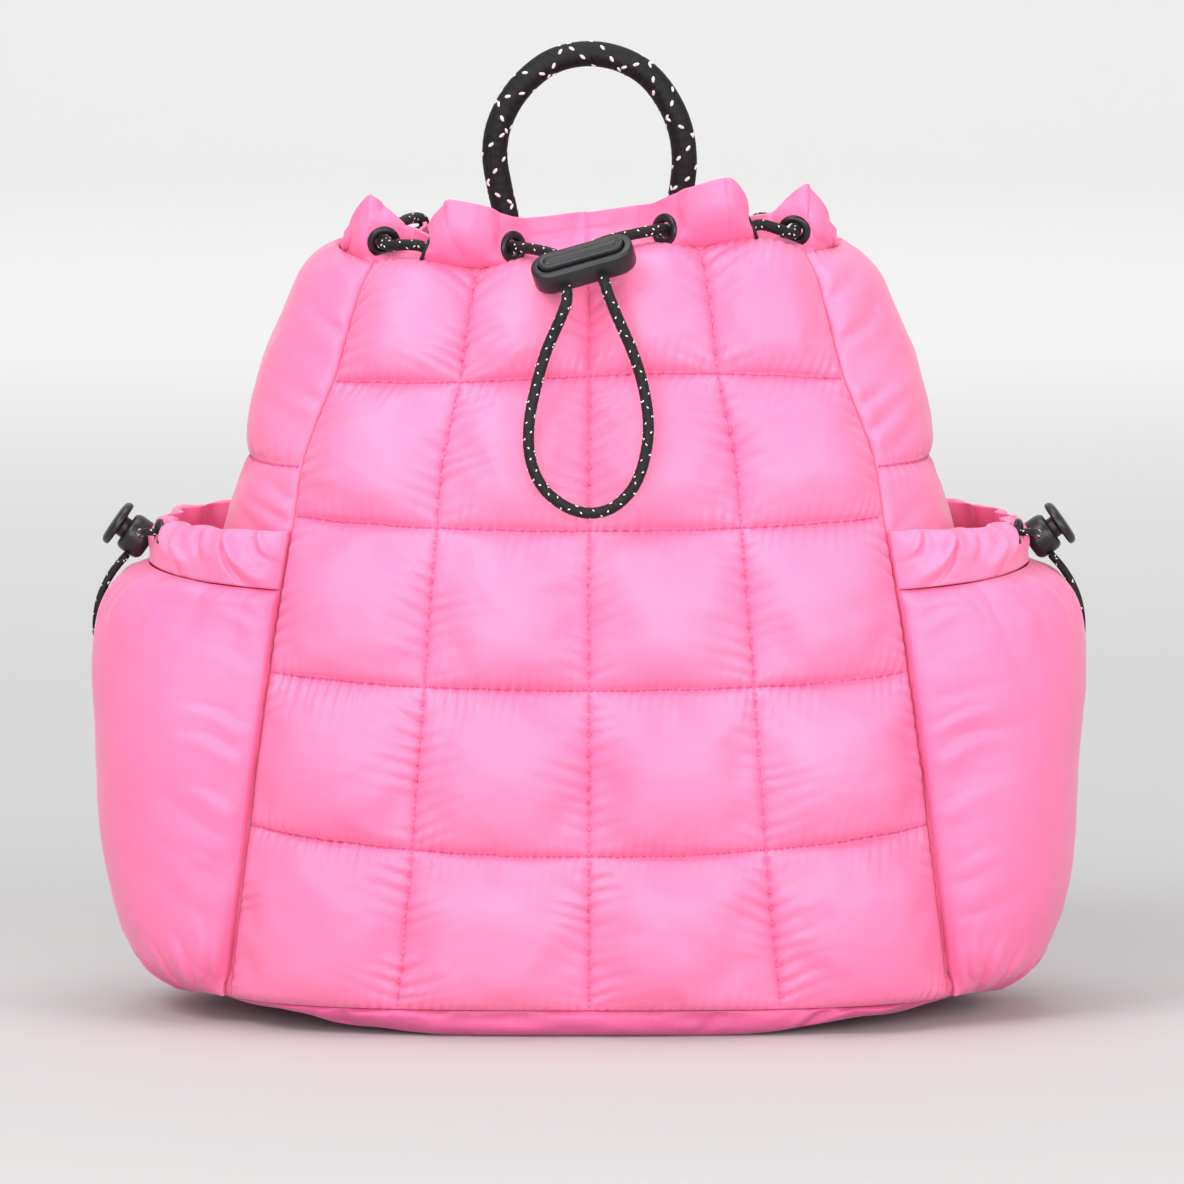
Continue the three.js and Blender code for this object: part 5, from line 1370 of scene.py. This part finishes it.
def make_pocket(side, seed):
    nu, nv = 176, 144
    u, v = shares(nu, nv)
    v = v**1.3
    bottom = pocket_bottom(u)
    top = POCKET_RIM_TOP - casing_height(u) - SEAM_GAP / 2
    z = bottom + (top - bottom) * v
    cloth = pocket_points(np.broadcast_to(u, z.shape), z)
    normal = grid_normals(cloth)
    run = u * POCKET_RUN
    inset = smooth(u, 0, 0.03) * (1 - smooth(u, 0.97, 1))
    below = top - z
    # Soft folds that hang from the gathered rim.
    drape = ridge(TURN * run / 21 + 2.5 * noise(run / 33, below / 60, seed))
    drape = 1.1 * drape * np.exp(-below / 26) * np.clip(0.6 + noise(run / 40, 0, seed + 2), 0.1, 1.4)
    # Folds that run off the seam with the front.
    d = np.minimum(u, 1 - u) * POCKET_RUN
    strain = ridge(TURN * (z - 0.45 * d + 5 * noise(z / 30, d / 40, seed + 4)) / 17)
    strain = 0.7 * strain * np.exp(-((d / 24) ** 1.2)) * smooth(d, 1, 9)
    strain = strain * np.clip(0.35 + 0.9 * noise(z / 26, u * 2, seed + 6), 0, 1.2)
    # Slow dents over the whole bag, and folds above the floor seam.
    slack = 1.7 * rough(run / 62 + z / 150, z / 85, seed + 8, 2)
    slack += 0.45 * crumple(run / 37 + z / 61, z / 52 - run / 90, seed + 10)
    rise = z - bottom
    low = 1.0 * ridge(TURN * run / 26 + 3 * noise(run / 45, rise / 30, seed + 12))
    low = low * np.exp(-((rise / 17) ** 1.5)) * smooth(rise, 0, 5)
    height = inset * (drape * smooth(below, 0, 4) + slack * smooth(below, 0, 12)
                      * smooth(rise, 0, 16)) + strain * smooth(rise, 0, 8) + inset * low
    height += creases(np.broadcast_to(run, z.shape), z, POCKET_FOLDS) * inset * smooth(below, 0, 3)
    height -= 0.5 * np.exp(-below / 1.8)
    tuck = 0.9 * np.exp(-((d / 2.0) ** 1.5)) * smooth(rise, 2, 9)
    height -= tuck
    # By the front seam the cloth swells and reaches for the seam.
    swell = np.exp(-((run / 26) ** 2)) * (1 - np.exp(-run / 2.0))
    height += 3.4 * swell * smooth(rise, 0, 22) * smooth(below, 0, 6)
    outer = cloth + normal * height[..., None]
    outer += SEAM_PULL * (np.exp(-run / 2.2) * smooth(rise, 2, 12))[..., None]
    outer = blown_up(outer, nv, nu, POCKET_BLOW)
    inner = (cloth - normal * (POCKET_WALL + tuck)[..., None])[::STRIDE, ::STRIDE]
    points, faces = lined(outer, inner)
    if side == "left":
        faces = flipped(faces)
    soft_piece("pocket_cloth_" + side, sided(points, side), faces, NYLON_SMOOTH,
               "pocket_" + side)


def make_rim(side, seed):
    nu, nv = 320, 30
    u, v = shares(nu, nv)
    shape = (nv + 1, nu + 1)
    cloth = rim_points(np.broadcast_to(u, shape), np.broadcast_to(v, shape))
    plain = rim_points(np.broadcast_to(u, shape), np.broadcast_to(v, shape), gathers=False)
    normal = grid_normals(plain)
    run = u * RIM_RUN
    inset = smooth(u, 0, 0.04) * (1 - smooth(u, 0.96, 1))
    fold = ridge(TURN * (run + 3.5 * (v - 0.5)) / 9.5 + 2.4 * noise(run / 14, v * 1.2, seed))
    fold = fold * np.clip(0.55 + 0.7 * noise(run / 18, v * 0.8, seed + 2), 0.1, 1.2)
    slanted = ridge(TURN * (run * 0.8 + 16 * v) / 15 + 2 * noise(run / 25, v, seed + 4))
    bulge = 2.2 * np.sin(math.pi * np.clip(v * 1.15, 0, 1)) - 1.8 * smooth(v, 0.82, 1)
    height = bulge * inset + inset * (0.4 * fold + 0.4 * slanted) * smooth(v, 0, 0.3)
    height = height - 0.4 * np.exp(-v * RIM_RISE / 1.6)
    size = np.array([RIM_RUN, RIM_RISE, RIM_RUN, RIM_RISE, 1, 1])
    height = height + 1.5 * creases(run, v * RIM_RISE, np.array(RIM_FOLDS) * size)
    d = np.minimum(u, 1 - u) * RIM_RUN
    tuck = np.broadcast_to(0.9 * np.exp(-((d / 2.0) ** 1.5)), shape)
    height = height - tuck
    height = height + 2.2 * np.exp(-((run / 22) ** 2)) * (1 - np.exp(-run / 2.0))
    outer = cloth + normal * height[..., None]
    outer += SEAM_PULL * np.exp(-run / 2.2)[..., None]
    outer[..., 2] += inset[0] * smooth(v, 0.7, 1) * (1.0 * noise(run / 9, 0, seed + 6))
    thick = POCKET_WALL + (CASING_WALL - POCKET_WALL) * np.sin(math.pi * u)
    inner = cloth - normal * (thick + tuck)[..., None]
    points, faces = wall(outer, inner)
    faces = faces.tolist()
    if side == "left":
        faces = flipped(faces)
    soft_piece("pocket_casing_" + side, sided(points, side), faces, NYLON,
               "pocket_rim_" + side)


def make_pocket_locks():
    rest = pocket_points(np.array([POCKET_LOCK_ALONG]), np.array([POCKET_LOCK_LEVEL]))[0]
    lean = math.radians(POCKET_LOCK_TILT)
    axis = np.array([math.sin(lean), 0, math.cos(lean)])
    foot = rest + axis * (RIM_GATHER_DEPTH + 1.5)
    u0, v0, reach = 0.375, 0.72, 0.004
    p = lambda a, b: rim_points(np.array([a]), np.array([b]))[0]
    out = unit(np.cross(p(u0 + reach, v0) - p(u0 - reach, v0), p(u0, v0 + reach) - p(u0, v0 - reach)))
    centre = p(u0, v0) + out * 1.3
    eyelet = [(2.1, -1.0), (5.5, -1.0), (5.5, -0.2), (5.2, 0.5), (4.6, 0.95), (3.6, 1.0),
              (2.6, 0.7), (2.1, 0.1)]
    body = [(0, 0), (5.4, 0), (6.6, 0.5), (7.6, 1.7), (8, 3.2), (8, 8.2), (7.75, 9.6), (7.1, 10.6),
            (6.4, 11), (4.9, 11), (4.6, 10.7), (4.6, 2.8), (0, 2.8)]
    under = 13.6
    button = [(0, 6), (3.9, 6), (4.2, 6.3), (4.2, under - 0.4), (4.6, under), (8.7, under),
              (9.3, under + 0.35), (9.5, under + 1.0), (9.45, under + 2.0), (8.9, under + 2.9),
              (7.6, under + 3.5), (5.5, under + 3.75), (2.5, under + 3.85), (0, under + 3.85)]
    down = np.array([axis[2], 0, -axis[0]])
    leave = foot + axis * (11 * 0.45) + down * 8.5
    loop = leave / 1000 + np.array(POCKET_LOOP_ROUTE)
    barrel = foot + axis * 5.5
    towards = centre - barrel
    towards = unit(towards - axis * np.dot(towards, axis))
    feed = [centre - out * 0.7, centre + out * 4.8, barrel + towards * 11, barrel + towards * 8.5]
    for side in ("left", "right"):
        way = sided(axis, side)
        turned("casing_eyelet_" + side, eyelet, sided(centre, side), sided(out, side), ENAMEL,
               True, "pocket_eyelet_" + side)
        turned("stopper_barrel_" + side, rounded(body), sided(foot, side), way, PLASTIC, False,
               "pocket_lock_body_" + side)
        turned("stopper_button_" + side, rounded(button), sided(foot, side), way, PLASTIC, False,
               "pocket_lock_button_" + side, "pocket_button_" + side)
        path, _ = curve_points(sided(feed, side), 0.6)
        braided_cord("pocket_feed_cord_" + side, path, POCKET_CORD_DIAMETER, POCKET_SPEC,
                     replaces=("pocket_feed_" + side,))
        path, length = curve_points(sided(loop * 1000, side), 0.6)
        hanging_loop("pocket_loop_cord_" + side, path, POCKET_CORD_DIAMETER, POCKET_SPEC,
                     "pocket_cord_" + side)


for side_name, side_seed in (("left", 101), ("right", 131)):
    make_pocket(side_name, side_seed)
    make_rim(side_name, side_seed + 7)
make_pocket_locks()


# Straps
def back_surface(x, height):
    z = height * BODY_TOP
    width, depth, middle, _, _ = section_at(z)
    share = (1 - (x / width) ** CORNER_POWER) ** (1 / CORNER_POWER)
    level = np.clip((z - BASE_SEAM) / (BODY_TOP - BASE_SEAM), 0, 1)
    return middle + depth * share + SEAM_WALL + 4 * crown(level, 6)


def strap_line(height):
    read = lambda column: read_table(STRAP_ROUTE[:, 0], STRAP_ROUTE[:, column], height)
    x = BODY_HALF_WIDTH * read(1)
    away = SEAM_GAP + STRAP_WALL + STRAP_STANDOFF * read(2)
    y = back_surface(x, height) + away
    return np.stack([x, y, height * BODY_TOP], -1), STRAP_WIDTH * read(3)


def make_straps():
    nu, nv = 48, 120
    u, v = shares(nu, nv)
    first, last = STRAP_ROUTE[0, 0], STRAP_ROUTE[-1, 0]
    line, width = strap_line(first + (last - first) * v[:, 0])
    cloth = np.broadcast_to(line[:, None], (nv + 1, nu + 1, 3)).copy()
    cloth[..., 0] += (0.5 - u) * width[:, None]
    normal = grid_normals(cloth)
    d = np.minimum(u, 1 - u) * width[:, None]
    stitch = -0.9 * np.exp(-(((d - 6) / 1.2) ** 2))
    soft = 0.35 * rough(u * 4, v * 9, 151, 2)
    height = stitch + soft - 1.2 * np.exp(-d / 1.4)
    outer = cloth + normal * height[..., None]
    plump = 0.25 + 0.75 * crown(u, 3)
    inner = cloth - normal * (STRAP_WALL * plump)[..., None]
    lower = line[0]
    buckle = np.array([lower[0] + 4, lower[1] - STRAP_WALL / 2, lower[2] - SEAM_GAP / 2 - 10])
    start, end = buckle[2] - 10 - 1.5 * SEAM_GAP, 0.07 * BODY_TOP
    end_x = buckle[0] + 14
    end_y = back_surface(end_x - WEBBING_WIDTH / 2, np.array(0.07)) + SEAM_GAP + WEBBING_WALL
    t = np.linspace(0, 1, 81)[:, None]
    across = np.linspace(0, 1, 25)[None, :]
    web = np.stack([
        end_x + (buckle[0] - end_x) * t + (0.5 - across) * WEBBING_WIDTH,
        end_y + (buckle[1] - end_y) * t + 3 * np.sin(math.pi * t) + 0 * across,
        end + (start - end) * t + 0 * across,
    ], -1)
    web_normal = grid_normals(web)
    ribs = 0.14 * np.sin(TURN * across * 9) * np.ones_like(t)
    web_points, web_faces = wall(web + web_normal * ribs[..., None],
                                 web - web_normal * WEBBING_WALL)
    points, faces = wall(outer, inner)
    run = []
    for i in (6, nu - 6):
        run.append(stitch_run(outer[2:-2, i] + normal[2:-2, i] * 0.25, normal[2:-2, i], 3.2))
    for side in ("left", "right"):
        turn = flipped if side == "left" else list
        soft_piece("strap_padding_" + side, sided(points, side), turn(faces.tolist()),
                   NYLON_SMOOTH, "shoulder_strap_" + side)
        sides = [(sided(vertices, side).tolist(), turn(polygons)) for vertices, polygons in run]
        join_runs("strap_stitches_" + side, sides, THREAD)
        make_object("webbing_" + side, sided(web_points, side), turn(web_faces.tolist()), WEBBING,
                    replaces=("strap_webbing_" + side,))
        buckle_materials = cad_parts["ladder_lock_" + side].data.materials
        buckle_materials.clear()
        buckle_materials.append(PLASTIC)


make_straps()


# Stage and light
def make_stage():
    material, tree, shader, coords = new_material("backdrop")
    back = wired(tree, "ShaderNodeSeparateXYZ", "Y", [("Vector", coords)])
    # Painted shade: the backdrop's colour runs darker on the near floor round the bag and paler up
    # the far wall.
    painted_floor_shade = ramp(tree, back, 0.3, 3.2)
    colour = mix_colour(tree, painted_floor_shade, (0.5, 0.5, 0.497, 1), (0.9, 0.9, 0.895, 1))
    tree.links.new(colour, shader.inputs["Base Color"])
    set_inputs(shader, Roughness=0.9, Specular_IOR_Level=0.1)
    rows = []
    wide, near, far, tall, curve = 8.0, -7.0, 6.4, 5.0, 1.6
    profile = [(near, 0.0), (far - curve, 0.0)]
    for k in range(1, 17):
        angle = math.pi / 2 * k / 16
        profile.append((far - curve + curve * math.sin(angle), curve - curve * math.cos(angle)))
    profile.append((far, tall))
    for y, z in profile:
        rows.append([(-wide, y, z), (wide, y, z)])
    mesh = bpy.data.meshes.new("backdrop")
    points = [point for row in rows for point in row]
    faces = [(2 * i, 2 * i + 1, 2 * i + 3, 2 * i + 2) for i in range(len(rows) - 1)]
    mesh.from_pydata(points, [], faces)
    for polygon in mesh.polygons:
        polygon.use_smooth = True
    mesh.materials.append(material)
    backdrop = bpy.data.objects.new("backdrop", mesh)
    bpy.context.scene.collection.objects.link(backdrop)
    backdrop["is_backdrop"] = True


def area_light(name, place, target, size, power):
    data = bpy.data.lights.new(name, "AREA")
    data.shape = "RECTANGLE"
    data.size, data.size_y = size
    data.energy = power
    light = bpy.data.objects.new(name, data)
    light.location = place
    light.rotation_euler = (Vector(target) - Vector(place)).to_track_quat("-Z", "Y").to_euler()
    bpy.context.scene.collection.objects.link(light)


def make_light():
    world = bpy.data.worlds.new("studio")
    world.use_nodes = True
    background = world.node_tree.nodes["Background"]
    background.inputs["Color"].default_value = (1, 1, 1, 1)
    background.inputs["Strength"].default_value = 0.55
    bpy.context.scene.world = world
    bpy.context.scene.view_settings.view_transform = "Standard"
    area_light("key", (-1.3, -1.6, 2.1), (0, 0, 0.18), (1.2, 1.0), 33)
    area_light("fill", (1.7, -1.5, 1.0), (0, 0, 0.15), (1.0, 1.2), 15)
    area_light("low", (0, -2.4, 0.55), (0, 0, 0.08), (2.2, 0.8), 36)
    area_light("back", (0, 3.6, 3.0), (0, 4.2, 0), (4.0, 2.0), 42)
    area_light("overhead", (0, -0.1, 2.4), (0, 0, 0.1), (1.6, 1.2), 23)


make_stage()
make_light()

{"cad": cad_box, "visual": [list(corner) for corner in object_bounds()]}
